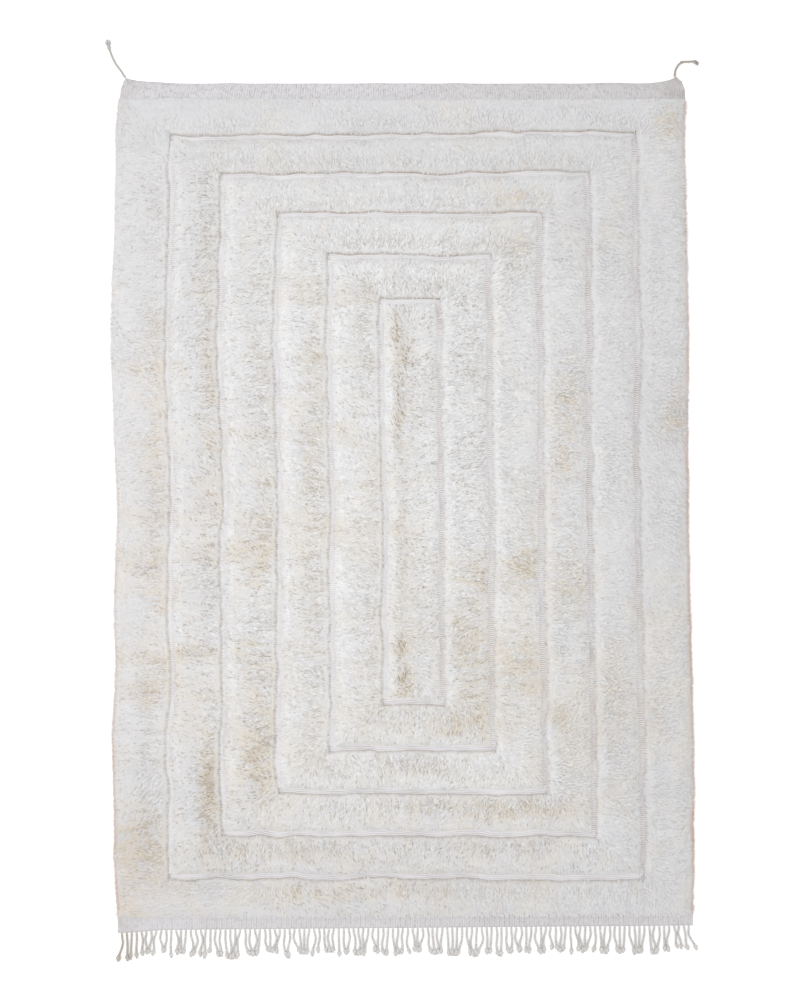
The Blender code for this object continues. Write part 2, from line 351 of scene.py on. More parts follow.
# the corner cords: each one's route on the floor, knot and frayed tuft
cornerCords = {
    "radius": 0.0034,
    "plyDepth": 0.30,
    "pitch": 0.014,
    "sides": 10,
    "steps": 170,
    "knot": {"at": 0.855, "spread": 0.028, "radius": 0.0066},
    "bulge": {"at": 0.50, "spread": 0.030, "radius": 0.0052},  # on the right cord, at its bend
    "tuft": {"strands": 30, "from": 0.87, "radius": 0.0012, "spans": 7, "sides": 5},
    "tuftRise": (0.0045, 0.0075),  # how high its yarns start, and how much higher they arch
    "tuftSizes": {"left": (0.025, 0.0100), "right": (0.014, 0.0070)},  # length and half-width
    "left": [
        (-0.9722, 1.5266),
        (-0.9861, 1.5476),
        (-1.0051, 1.5736),
        (-1.0173, 1.5978),
        (-1.0259, 1.6203),
        (-1.0345, 1.6560),
    ],
    "right": [
        (0.9340, 1.5305),
        (0.9376, 1.5534),
        (0.9476, 1.5704),
        (0.9597, 1.5801),
        (0.9791, 1.5818),
        (1.0010, 1.5818),
        (1.0124, 1.5770),
    ],
}
cordYarns = {
    "left": makeYarn("paleCordYarn", (0.450, 0.445, 0.400), (0.610, 0.605, 0.590)),
    "right": makeYarn("brownCordYarn", (0.370, 0.330, 0.290), (0.560, 0.520, 0.480)),
}
tuftYarns = {
    "left": makeYarn("tuftYarn", (0.520, 0.510, 0.550), (0.700, 0.690, 0.730)),
    "right": cordYarns["right"],
}


def smoothRead(points, at):
    # a smooth curve through points, read at a share of its spans
    spans = len(points) - 1
    i = min(int(at * spans), spans - 1)
    t = at * spans - i
    p = [Vector(points[min(max(j, 0), spans)]) for j in (i - 1, i, i + 1, i + 2)]
    return 0.5 * (
        2 * p[1]
        + (p[2] - p[0]) * t
        + (2 * p[0] - 5 * p[1] + 4 * p[2] - p[3]) * t * t
        + (3 * p[1] - p[0] - 3 * p[2] + p[3]) * t**3
    )


def makeTuft(side, c):
    # the cord's frayed end: loose yarns that spread from its knot
    rng = random.Random(31 if side == "left" else 37)
    tuft = c["tuft"]
    length, half = c["tuftSizes"][side]
    lowest, higher = c["tuftRise"]
    start = smoothRead(c[side], tuft["from"])
    ahead = (smoothRead(c[side], 0.98) - start).normalized()
    tubes = []
    for _ in range(tuft["strands"]):
        lean, rise = rng.uniform(-1, 1), rng.uniform(0.25, 1.0)
        reach = length * rng.uniform(0.7, 1.15)
        curl = rng.uniform(-0.002, 0.002)
        route = []
        for i in range(tuft["spans"] + 1):
            share = i / tuft["spans"]
            off = lean * half * math.sin(min(1.0, 1.5 * share) * math.pi / 2)
            off += curl * math.sin(6 * share)
            place = start + ahead * reach * share + Vector((-ahead.y, ahead.x)) * off
            arch = rise * math.sin(math.pi * min(1.0, share + 0.15))
            height = lowest + higher * arch * rng.uniform(0.8, 1.0)
            route.append((place.x, place.y, max(height, tuft["radius"])))
        radii = [tuft["radius"] * (1.0 - 0.5 * i / tuft["spans"]) for i in range(len(route))]
        tubes.append(yarnTube(route, radii, [0.0] * len(route), c["pitch"], tuft["sides"]))
    points, faces = joinTubes(tubes)
    obj = newPiece("cornerTuft" + side.capitalize(), points, faces, tuftYarns[side])
    return finishPiece(obj, "warp_yarn", "corner_cord_" + side, {"brownShare": np.zeros(len(points))})


def makeCord(side, c):
    lumps = [c["knot"]] + ([c["bulge"]] if side == "right" else [])
    route, radii, depths = [], [], []
    for i in range(c["steps"] + 1):
        share = i / c["steps"] * (c["knot"]["at"] + 0.06)
        radius, depth = c["radius"], c["plyDepth"]
        for lump in lumps:
            swell = math.exp(-(((share - lump["at"]) / lump["spread"]) ** 2))
            radius += (lump["radius"] - radius) * swell
            depth *= 1 - 0.6 * swell
        flat = smoothRead(c[side], share)
        route.append((flat.x, flat.y, radius * (1 + depth)))
        radii.append(radius)
        depths.append(depth)
    points, faces = yarnTube(route, radii, depths, c["pitch"], c["sides"])
    cord = newPiece("cornerCord" + side.capitalize(), points, faces, cordYarns[side])
    finishPiece(cord, "warp_yarn", "corner_cord_" + side, {"brownShare": np.zeros(len(points))})
    length = sum((Vector(b) - Vector(a)).length for a, b in zip(route, route[1:]))
    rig.cord(
        cord, exit=route[0], length=length, diameter=2 * c["radius"] * (1 + c["plyDepth"]),
        far_end="knot", stiffness="limp", lay="loose", path=route, with_pieces=[makeTuft(side, c)],
    )
    return cord


cords = [makeCord(side, cornerCords) for side in ("left", "right")]
print("corner cords made")


# how the cloth lies: the same named sizes as its solids, in metres
clothLay = {
    "fringeEndY": -1.4245,
    "length": 2.932,
    "width": 2.0,  # about how far apart the selvedges are
    "fringeEndBand": 0.042,
    "plainEndBand": 0.050,
    "plainEndShows": 0.006,  # how much further it shows, where the pile stands back from it
    "fringeEndRise": 0.0085,
    "fringeRiseReach": 0.16,
    "corners": ((0.018, 0.030), (0.022, 0.016)),  # peak height, and reach as a share of the width
    "wobble": 0.004,
    "wobbleRate": 5.5,
    "wobbleFrom": 0.018,  # it fades out this near the rim
    "wavers": ((10.0, 0.008), (27.0, 0.004)),  # rate and size of the channels' finer waves
    "rimInset": 0.009,
    "rimFade": 0.08,
}

# distance from the fringed end, then the left and right selvedges
selvedges = np.array([
    (0.000, -0.9990, 0.9980),
    (0.270, -1.0100, 1.0000),
    (0.650, -1.0170, 1.0000),
    (0.900, -1.0065, 0.9940),
    (1.150, -1.0100, 0.9870),
    (1.450, -1.0000, 0.9810),
    (1.700, -1.0100, 0.9795),
    (1.950, -1.0205, 0.9830),
    (2.200, -1.0190, 0.9795),
    (2.450, -1.0095, 0.9730),
    (2.700, -1.0050, 0.9685),
    (2.780, -1.0040, 0.9690),
    (2.850, -0.9985, 0.9725),
    (2.900, -0.9890, 0.9700),
    (2.920, -0.9810, 0.9600),
    (2.932, -0.9700, 0.9400),
])

# outer walls of each channel: left and right as shares of the warps, bottom and top as
# distances from the fringed end
channelWidth = 0.022
channels = [
    {"left": 0.0945, "right": 0.9145, "bottom": 0.168, "top": 2.757},
    {"left": 0.1850, "right": 0.8310, "bottom": 0.317, "top": 2.622},
    {"left": 0.2820, "right": 0.7465, "bottom": 0.463, "top": 2.483},
    {"left": 0.3735, "right": 0.6585, "bottom": 0.615, "top": 2.338},
    {"left": 0.4650, "right": 0.5720, "bottom": 0.771, "top": 2.186},
]
rim = {
    "left": 0.0,
    "right": 1.0,
    "bottom": clothLay["fringeEndBand"],
    "top": clothLay["length"] - clothLay["plainEndBand"] - clothLay["plainEndShows"],
}
# how far the wefts climb to the right: distance from the fringed end, and half the climb
climbs = ((2.528, 0.0), (2.555, 0.007), (2.667, 0.007), (2.690, 0.010), (2.802, 0.010), (2.837, 0.0))


def smooth(value, low, high):
    t = np.clip((value - low) / (high - low), 0.0, 1.0)
    return t * t * (3 - 2 * t)


def noiseAt(x, y, z):
    # Blender's noise over arrays of places
    flat = np.broadcast_arrays(x, y, z)
    found = [noise.noise(Vector(p)) for p in zip(*(a.ravel() for a in flat))]
    return np.array(found).reshape(flat[0].shape)


# slow waves of the warps and wefts, one for each half of the cloth
wanderSteps = np.linspace(-1.8, 1.8, 1441)
wanders = {}
for axis, offset in (("x", 3.1), ("y", 7.7)):
    for far in (0, 1):
        rate = clothLay["wobbleRate"]
        wanders[axis, far] = noiseAt(wanderSteps * rate, float(far), offset)


def selvedgeAt(along):
    along = np.asarray(along, dtype=float)
    row = np.clip(np.searchsorted(selvedges[:, 0], along) - 1, 0, len(selvedges) - 2)
    low, high = selvedges[row], selvedges[row + 1]
    t = smooth(along, low[..., 0], high[..., 0])
    return tuple(low[..., i] + (high[..., i] - low[..., i]) * t for i in (1, 2))


def clothPlace(across, along):
    # where a place on the cloth lies on the floor, from its share of the warps and its
    # distance from the fringed end
    across, along = np.broadcast_arrays(np.asarray(across, float), np.asarray(along, float))
    left, right = selvedgeAt(along)
    x = left + across * (right - left)
    y = clothLay["fringeEndY"] + along
    swing = 2 * across - 1
    rise = np.clip(1 - along / clothLay["fringeRiseReach"], 0, None)
    y = y + clothLay["fringeEndRise"] * swing * rise
    y = y + np.interp(along, *zip(*climbs)) * swing
    band = clothLay["plainEndBand"]
    end = np.clip(along - clothLay["length"] + band, 0, None) / band
    for share, (height, reach) in zip((across, 1 - across), clothLay["corners"]):
        y = y + end * height * np.exp(-share / reach)
    inside = smooth(rimGap(across, along, right - left), 0.0, clothLay["wobbleFrom"])
    wobble = inside * clothLay["wobble"]
    leftness = smooth(across, 0.6, 0.4)
    topness = smooth(along, 1.2, 1.7)
    for share, far in ((leftness, 1), (1 - leftness, 0)):
        x = x + wobble * share * np.interp(y, wanderSteps, wanders["x", far])
    for share, far in ((topness, 1), (1 - topness, 0)):
        y = y + wobble * share * np.interp(x, wanderSteps, wanders["y", far])
    for rate, size in clothLay["wavers"]:
        shiftX = inside * size * noiseAt(x * rate, y * rate, 2.7)
        y = y + inside * size * noiseAt(x * rate, y * rate, 12.7)
        x = x + shiftX
    return x, y


def wallGaps(walls, across, along, width):
    # how far inside the left, right, bottom and top walls a place lies
    return np.array([
        (across - walls["left"]) * width,
        (walls["right"] - across) * width,
        along - walls["bottom"],
        walls["top"] - along,
    ])


def rimGap(across, along, width):
    return wallGaps(rim, across, along, width).min(axis=0)


def edgeGaps(across, along):
    # for every band, a place's gaps to the four sides of its outer edge, and how far outside
    # the next channel inwards the place is
    across, along = np.broadcast_arrays(np.asarray(across, float), np.asarray(along, float))
    left, right = selvedgeAt(along)
    width = right - left
    walls = [wallGaps(c, across, along, width) for c in channels]
    sides = [wallGaps(rim, across, along, width)] + [w - channelWidth for w in walls]
    toIn = [-w.min(axis=0) for w in walls] + [np.full(across.shape, 1.0)]
    return np.array(sides), np.array(toIn)


def pick(values, band):
    # each place's own band's value
    return np.take_along_axis(values, np.clip(band, 0, None)[None], axis=0)[0]


def sideness(outX):
    # how much a place is on the right and on the left of its band
    return smooth(outX, 0.2, 0.8), smooth(-outX, 0.2, 0.8)


def outwards(near):
    # which way is outwards, from the gaps to a band's left, right, bottom and top
    pull = np.exp(-(near - near.min(axis=0)) / 0.018)
    outX, outY = pull[1] - pull[0], pull[3] - pull[2]
    size = np.maximum(np.hypot(outX, outY), 1e-6)
    return outX / size, outY / size


def bandPlace(across, along, spare):
    # the pile band each place lies in or is within spare of, or -1 in a channel, its distances
    # from that band's outer and inner edges, and which way is outwards
    sides, inner = edgeGaps(across, along)
    depth = sides.min(axis=1)
    band = np.where(depth[0] < 0, -1, (depth > 0).sum(axis=0) - 1)
    toIn = pick(inner, band)
    band = np.where(toIn < -spare, -1, band)
    outX, outY = outwards(np.array([pick(sides[:, i], band) for i in range(4)]))
    return band, pick(depth, band), toIn, outX, outY


pileShape = {
    "runs": (-0.012, -0.005, 0.004, 0.013, 0.024, 0.045),
    "gentle": (0.0052, 0.0060, 0.0125, 0.0200, 0.0260, 0.0290),
    "steep": (0.0070, 0.0110, 0.0240, 0.0278, 0.0288, 0.0290),
    "rightBulge": 0.0055,  # how much further a band reaches over the channel on its right
    "lump": 0.005,
    "lumpRates": ((9, 7, 1.0), (19, 15, 0.4)),
}


def pileLumps(x, y):
    return sum(k * noiseAt(x * a, y * b, a + 0.4) for a, b, k in pileShape["lumpRates"])


def pileHeight(band, fromOut, toIn, outX, lumps):
    # height of the pile. It slopes gently on its left and outer sides, and stands up steeply
    # on the others.
    onRight, onLeft = sideness(outX)
    onEnd = (1 - onRight - onLeft) * (np.asarray(band) == 0)
    fromEdge = fromOut * (1 - 0.4 * onEnd) + pileShape["rightBulge"] * onRight * (np.asarray(band) > 0)
    heights = []
    for gap, steep in ((fromEdge, 0.25 * onRight), (toIn, 0.6 - 0.6 * onRight - 0.1 * onLeft)):
        gentle, sheer = (np.interp(gap, pileShape["runs"], pileShape[k]) for k in ("gentle", "steep"))
        heights.append(gentle + (sheer - gentle) * steep)
    gap = np.minimum(fromOut, toIn)
    return np.minimum(*heights) + pileShape["lump"] * lumps * smooth(gap, 0.0, pileShape["runs"][-1])


def wallShade(toIn, outX, outY):
    # how far the yarn at a channel's outer wall is in its own shade
    beside = 0.12 * np.clip(outX, 0, 1) + 0.40 * np.clip(outY, 0, 1) + 0.18 * np.clip(-outY, 0, 1)
    return smooth(toIn, 0.0045, 0.0005) * beside


brightStep = 0.64  # what a whole step of brightness is, as a share of the bright white


def drapeHighlight(band, fromOut, toIn, outX, rough):
    # painted highlight: how much brighter the smooth yarn that drapes to the left or outwards is painted, and the
    # middle bands
    onRight, onLeft = sideness(outX)
    edge = (0.5 + 0.3 * onLeft - 0.5 * onRight) * smooth(fromOut, 0.045, 0.012)
    edge = (edge + 0.4 * onRight * smooth(toIn, 0.045, 0.012)) * (1 - rough)
    edge = (edge + 0.75 * onRight * smooth(fromOut, 0.022, 0.002)) * (band > 0)
    edge = edge + (0.20 * (1 - onRight) + 0.35 * onLeft) * smooth(toIn, 0.070, 0.008)
    inner = 0.07 * np.clip(band, 0, 4) + 0.20 * (band >= 3) + 0.20 * (band >= 2) * (1 - onRight)
    return brightStep * (edge + inner + 0.25 * (band == 5))


def rimShade(band, fromOut, outX):
    # the outer band is a little greyer towards its selvedges
    onRight, onLeft = sideness(outX)
    shade = 0.05 * onLeft * smooth(fromOut, 0.050, 0.010) + 0.08 * onRight * smooth(fromOut, 0.100, 0.0)
    return shade * (band == 0)


def rimTintAndShade(x, y, fromRim, outX):
    # how pinkish-tan the pile is along the left and right selvedges: partly its yarn's colour, partly painted shade
    left = smooth(-outX, 0.6, 0.9) * (0.12 + 0.55 * smooth(y, 0.5, -0.8))
    right = smooth(outX, 0.6, 0.9) * (0.60 + 0.40 * smooth(y, 0.8, -0.4))
    uneven = np.clip(0.9 + 0.5 * noiseAt(x * 3, y * 8, 7.7), 0.3, 1.3)
    # the same tint at the fringed end's left corner
    corner = 0.14 * smooth(x, -0.80, -1.0) * smooth(y, -1.0, -1.35)
    return np.clip((left + right) * smooth(fromRim, 0.014, 0.004) * uneven + corner, 0, 1)


def ruffle(x, y, fromOut, toIn, outX):
    # how rough the pile is: smooth where it drapes over an outer edge or faces left
    share = fromOut / np.maximum(fromOut + toIn, 1e-6)
    inwards = np.where(toIn > 0.9, 0.7 * smooth(fromOut, 0.02, 0.05), smooth(share, 0.25, 0.85))
    onRight = smooth(outX, 0.5, 0.9)
    rough = inwards * (1 - onRight) + 0.55 * smooth(np.minimum(toIn, 0.2), 0.012, 0.036) * onRight
    return np.clip(rough * (0.8 + 1.1 * noiseAt(x * 5, y * 5, 6.6)), 0.0, 1.0)


# creamy and opened patches of the pile: x, y, half-width, half-length, how creamy, how opened
patches = [
    (-0.010, 0.050, 0.045, 0.650, 0.20, 0.35),
    (-0.030, 0.640, 0.022, 0.090, 0.35, 1.0),
    (0.005, 0.550, 0.020, 0.070, 0.40, 1.0),
    (-0.018, 0.430, 0.020, 0.110, 0.50, 1.0),
    (-0.028, 0.310, 0.018, 0.080, 0.50, 1.0),
    (-0.012, -0.450, 0.024, 0.060, 0.50, 1.0),
    (-0.005, -0.570, 0.034, 0.060, 0.60, 1.0),
    (-0.900, -0.600, 0.050, 0.028, 0.85, 1.0),
    (-0.850, -0.560, 0.070, 0.090, 0.40, 0.2),
    (-0.890, -0.170, 0.070, 0.028, 0.60, 0.8),
    (-0.860, -0.270, 0.060, 0.060, 0.55, 0.2),
    (-0.720, -0.465, 0.080, 0.026, 0.50, 0.8),
    (-0.855, 0.250, 0.035, 0.330, 0.50, 0.3),
    (-0.915, -1.130, 0.085, 0.120, 1.00, 0.7),
    (-0.980, -1.370, 0.060, 0.050, 0.60, 0.2),
    (-0.670, 0.400, 0.035, 0.330, 0.55, 0.5),
    (-0.680, -0.940, 0.035, 0.170, 0.80, 0.7),
    (-0.520, -0.130, 0.070, 0.120, 0.50, 0.4),
    (-0.510, -0.480, 0.070, 0.110, 0.60, 0.5),
    (-0.510, -0.830, 0.065, 0.180, 0.80, 0.45),
    (-0.320, -0.350, 0.040, 0.300, 0.30, 0.4),
    (-0.320, 0.300, 0.040, 0.350, 0.30, 0.3),
    (0.230, -0.480, 0.090, 0.220, 0.60, 0.4),
    (0.210, -0.710, 0.120, 0.060, 0.50, 0.4),
    (0.410, -0.180, 0.065, 0.080, 0.70, 0.6),
    (0.400, -0.520, 0.060, 0.090, 0.90, 0.6),
    (0.570, -0.220, 0.050, 0.080, 0.70, 0.5),
    (0.560, 0.400, 0.050, 0.120, 0.70, 0.5),
    (0.540, 0.200, 0.045, 0.080, 0.50, 0.4),
    (0.530, -0.690, 0.040, 0.050, 0.70, 0.8),
    (0.240, -0.210, 0.070, 0.080, 0.60, 0.5),
    (0.395, 1.110, 0.080, 0.035, 0.75, 0.2),
    (0.370, 0.930, 0.070, 0.070, 0.40, 0.3),
    (0.925, 0.350, 0.045, 0.070, 0.80, 0.9),
    (0.905, 1.370, 0.040, 0.060, 0.80, 0.7),
    (0.690, -0.640, 0.080, 0.150, 0.30, 0.3),
    (0.860, -0.680, 0.060, 0.100, 0.35, 0.4),
    (0.350, -1.010, 0.250, 0.030, 0.80, 0.4),
    (-0.350, -1.290, 0.280, 0.035, 0.25, 0.3),
    (-0.620, -1.180, 0.100, 0.050, 0.30, 0.4),
]


def patchMasks(x, y):
    cream, opened = np.zeros(x.shape), np.zeros(x.shape)
    blur = 0.35 * noiseAt(x * 14, y * 14, 5.5)
    for px, py, wide, long, creaminess, openness in patches:
        reach = ((x - px) / wide) ** 2 + ((y - py) / long) ** 2
        mask = np.exp(-np.clip(reach * (1 + blur), 0, None))
        cream = cream + creaminess * mask
        opened = np.maximum(opened, openness * mask)
    broken = 0.70 + 1.1 * noiseAt(x * 20, y * 38, 8.1) + 1.3 * noiseAt(x * 48, y * 90, 4.6)
    cream = cream * np.clip(broken, 0, 1.8)
    # rows of knots from a creamier batch of yarn, mostly on the left
    rows = np.clip(3.0 * noiseAt(x * 1.6, y * 12, 2.2) - 0.5, 0, 1)
    rows = rows * smooth(x, 0.6, -0.2) * smooth(y, 1.15, 0.75)
    cream, opened = cream + 0.30 * rows, np.maximum(opened, 0.22 * rows)
    cream = cream + 0.18 * smooth(y, 0.7, -0.9) + 0.20 * noiseAt(x * 3.2, y * 2.1, 9.3)
    cream = cream + 0.35 * noiseAt(x * 17, y * 11, 1.3)
    return np.clip(cream, 0.0, 1.3), np.clip(opened, 0.0, 1.0)


woolFinish = {
    "white": (0.824, 0.830, 0.856),
    # bright is the colour that painted highlights and randomly brighter locks mix towards
    "bright": (0.975, 0.985, 1.000),
    "cream": (0.890, 0.838, 0.750),
    # rim is the selvedges' pinkish tan, also standing in for painted shade there
    "rim": (0.700, 0.560, 0.500),
    # root is the brown of the yarn's roots, also mixed in as painted shade and painted shadow
    "root": (0.445, 0.362, 0.262),
    "roughness": 0.92,
    "sheen": 0.25,
}


def makeWoolPile(finish):
    material, tree, shader = newMaterial("woolPile")
    # painted highlights, with slow and random differences of tone
    pile = blendColour(tree, readAttribute(tree, "bright"), finish["white"], finish["bright"])
    pile = blendColour(tree, readAttribute(tree, "cream"), pile, finish["cream"])
    fleck = remap(tree, objectNoise(tree, 260.0, 3.0), 0.35, 0.75, 0.0, 0.10)
    pile = blendColour(tree, fleck, pile, finish["cream"])
    # the selvedges' tan, partly painted shade
    pile = blendColour(tree, readAttribute(tree, "rim"), pile, finish["rim"])
    # the roots' brown, with painted shade deep in the pile, at channel walls and selvedges, and painted shadow
    pile = blendColour(tree, readAttribute(tree, "rootsAndShade"), pile, finish["root"])
    woolSurface(tree, shader, pile, finish["roughness"], finish["sheen"], (900.0, 2.0, 0.0012, 0.6))
    return material


# gap colours the painted shade between ribs; the dark tint is painted shade at the walls' foot, tan like roots
channelFinish = {
    "name": "channelWool",
    "yarn": (0.900, 0.888, 0.908),
    "light": (0.945, 0.938, 0.955),
    "gap": (0.500, 0.450, 0.450),
    "seam": (0.520, 0.360, 0.240),
}
# the gap colour is painted shade between ribs; the dark tint darkens the corners and right side
endFinish = {
    "name": "endBandWool",
    "yarn": (0.730, 0.715, 0.734),
    "light": (0.828, 0.816, 0.836),
    "gap": (0.450, 0.425, 0.430),
    "seam": (0.400, 0.350, 0.310),
}


def makeWovenWool(finish):
    material, tree, shader = newMaterial(finish["name"])
    base = blendColour(tree, objectNoise(tree, 90.0, 3.0), finish["yarn"], finish["light"])
    # painted shade between the ribs, then the dark tint
    base = blendColour(tree, readAttribute(tree, "gap"), base, finish["gap"])
    base = blendColour(tree, readAttribute(tree, "seam"), base, finish["seam"])
    woolSurface(tree, shader, base, 0.9, 0.15, (500.0, 3.0, 0.0008, 0.7))
    return material


woolPile = makeWoolPile(woolFinish)
channelWool = makeWovenWool(channelFinish)
endBandWool = makeWovenWool(endFinish)
print("materials made")


# the thin cloth that all the pile is knotted into
groundWeave = {"columns": 60, "rows": 150, "top": 0.0032, "thick": 0.0030}


def makeGroundWeave(g):
    bpy.ops.mesh.primitive_grid_add(x_subdivisions=g["columns"], y_subdivisions=g["rows"], size=1.0)
    obj = bpy.context.object
    obj.name = obj.data.name = "groundWeave"
    points = np.array([v.co for v in obj.data.vertices])
    across, along = points[:, 0] + 0.5, (points[:, 1] + 0.5) * clothLay["length"]
    left, right = selvedgeAt(along)
    fade = np.clip(np.minimum(along - rim["bottom"], rim["top"] - along) / clothLay["rimFade"], 0, 1)
    inset = clothLay["rimInset"] * fade * (2 * np.abs(across - 0.5)) ** 8
    across = across + np.where(across < 0.5, inset, -inset) / (right - left)
    x, y = clothPlace(across, along)
    for v, px, py in zip(obj.data.vertices, x, y):
        v.co = (px, py, g["top"])
    solid = obj.modifiers.new("thickness", "SOLIDIFY")
    solid.thickness = g["thick"]
    solid.offset = -1.0
    bpy.ops.object.modifier_apply(modifier="thickness")
    obj.data.materials.append(channelWool)
    bpy.ops.object.select_all(action="DESELECT")
    plain = np.zeros(len(obj.data.vertices))
    return finishPiece(obj, "wool_pile", "rug_body", {"gap": plain, "seam": plain})


ground = makeGroundWeave(groundWeave)
print("ground weave made")


# weft ribs that show in the channels
channelRibs = {
    "pitchAlongWalls": 0.0070,  # where the ribs cross the channel
    "pitchAcrossWalls": 0.0060,  # where they run along it
    "height": 0.0024,
    "level": 0.0032,
    "waver": 0.0006,
    "tuckedIn": 0.004,  # how far the weave runs on under the pile
    "edgeDip": 0.0022,
    # how far it is drawn up at its outer and its inner wall
    "lifted": {"left": (0.007, 0.0), "right": (0.0, 0.004), "bottom": (0.0, 0.0), "top": (0.0, 0.0)},
    "spans": 4,
    "longStep": 0.013,
    # brown dashes between the side channels' ribs, partly painted shade
    "dashes": {"left": 0.25, "right": 0.55},
    "gapShades": {"left": 0.25, "right": 0.75, "bottom": 0.90, "top": 0.45},
    # how strong the painted shade at the outer wall's foot is, tinted tan like the knots' roots
    "seams": {"left": 0.35, "right": 1.00, "bottom": 0.55, "top": 1.00},
}


def ribSteps(low, high, pitch):
    # three rows for each rib, low then two high, and how high each row is
    count = max(1, round((high - low) / pitch))
    found, lifts = [], []
    for i in range(count):
        for share, lift in ((0.0, 0.0), (0.33, 1.0), (0.68, 0.95)):
            found.append(low + (high - low) * (i + share) / count)
            lifts.append(lift)
    return np.array(found + [high]), np.array(lifts + [0.0])


def ribPatch(across, along, lifts, stepsIn, r, side):
    # points of one woven run, its painted shade between the ribs, and its dark tint by the outer wall
    x, y = clothPlace(across, along)
    uneven = 0.75 + 0.5 * noiseAt(x * 60, y * 60, 2.2)
    z = r["level"] + r["height"] * lifts * uneven + r["waver"] * noiseAt(x * 25, y * 25, 8.8)
    edge = np.minimum(
        smooth(stepsIn, -r["tuckedIn"], 0.001),
        smooth(stepsIn, channelWidth + r["tuckedIn"], channelWidth - 0.001),
    )
    z = z - r["edgeDip"] * (1 - edge)
    outer, inner = r["lifted"][side]
    z = z + outer * smooth(stepsIn, 0.012, 0.0)
    z = z + inner * smooth(stepsIn, channelWidth - 0.012, channelWidth)
    rough = 0.50 + 1.1 * noiseAt(x * 7, y * 7, 4.4) + 1.1 * noiseAt(x * 110, y * 110, 7.4)
    # painted shade at the outer wall's foot, tan like the knots' roots
    seam = r["seams"][side] * smooth(stepsIn, 0.0034, 0.0002) * np.clip(rough, 0.1, 1)
    if side in ("left", "right"):
        # brown dashes in the gaps between the ribs, partly painted shade
        dashes = r["dashes"][side] * (1 - lifts) * np.clip(rough - 0.1, 0, 1.2)
        seam = seam * (1 - 0.75 * lifts) + dashes
    # painted shade between the ribs
    gap = r["gapShades"][side] * (1 - lifts) * (0.8 + 0.8 * noiseAt(x * 11, y * 11, 1.9))
    return np.stack([x, y, z], axis=-1), np.clip(gap, 0, 1), np.clip(seam, 0, 1)


def channelRuns(c, r):
    # the four woven runs of a channel: places on the cloth, how high each row of a rib is, and
    # how far inside the outer wall it is
    tuck = r["tuckedIn"]
    steps = np.linspace(-tuck, channelWidth + tuck, r["spans"] + 1)
    rows, lifts = ribSteps(c["bottom"] + channelWidth, c["top"] - channelWidth, r["pitchAlongWalls"])
    left, right = selvedgeAt(rows)
    for side, way in (("left", 1), ("right", -1)):
        across = c[side] + way * steps[None, :] / (right - left)[:, None]
        yield side, across, rows[:, None], lifts[:, None], steps[None, :]
    for side, way in (("bottom", 1), ("top", -1)):
        rows, lifts = ribSteps(-tuck, channelWidth + tuck, r["pitchAcrossWalls"])
        along = c[side] + way * rows[:, None]
        spans = int((c["right"] - c["left"]) * clothLay["width"] / r["longStep"])
        left, right = selvedgeAt(along)
        low = c["left"] - tuck / (right - left)
        high = c["right"] + tuck / (right - left)
        across = low + (high - low) * np.linspace(0, 1, spans + 1)[None, :]
        yield side, across, along, lifts[:, None], rows[:, None]


def makeChannelWeave(r):
    points, faces, gapShades, darkTintParts = [], [], [], []
    count = 0
    runs = [run for c in channels for run in channelRuns(c, r)]
    for side, *places in runs:
        found, gap, seam = ribPatch(*np.broadcast_arrays(*places), r, side)
        quads = np.array(gridFaces(*gap.shape))
        mid = found[0, 0, :2], found[-1, 0, :2], found[0, -1, :2]
        if np.cross(mid[2] - mid[0], mid[1] - mid[0]) < 0:  # faces look up
            quads = quads[:, ::-1]
        points.append(found.reshape(-1, 3))
        gapShades.append(gap.ravel())
        darkTintParts.append(seam.ravel())
        faces.append(quads + count)
        count += gap.size
    points, faces = np.concatenate(points).tolist(), np.concatenate(faces).tolist()
    obj = newPiece("channelWeave", points, faces, channelWool)
    planMap(obj)
    masks = {"gap": np.concatenate(gapShades), "seam": np.concatenate(darkTintParts)}
    return finishPiece(obj, "wool_pile", "rug_body", masks)


channelWeave = makeChannelWeave(channelRibs)
print("channel weave made:", len(channelWeave.data.polygons), "faces")


# flat-woven bands at the two ends, whose warps show as fine ribs
endRibs = {
    "count": 232,  # two for each strand of the fringe
    "height": 0.0019,
    "level": 0.0032,
    "rowStep": 0.0055,
    "tuckedIn": 0.010,
    "rise": 0.0055,  # up to the pile beside it
    "skirt": 0.0006,
    "plain": 0.15,
    "fringeEnd": {"gapShade": 0.54, "pairing": 0.45, "speckle": 0.55, "brownShare": (0.05, 0.05)},
    "plainEnd": {"gapShade": 0.44, "pairing": 0.20, "speckle": 0.85, "brownShare": (0.0, 0.11)},
    "wave": 0.0040,  # of the plain end's edge
}


def cornerSag(x):
    # how far the cloth's left corner sags at the fringed end
    return 0.009 * smooth(x, -0.82, -0.99)


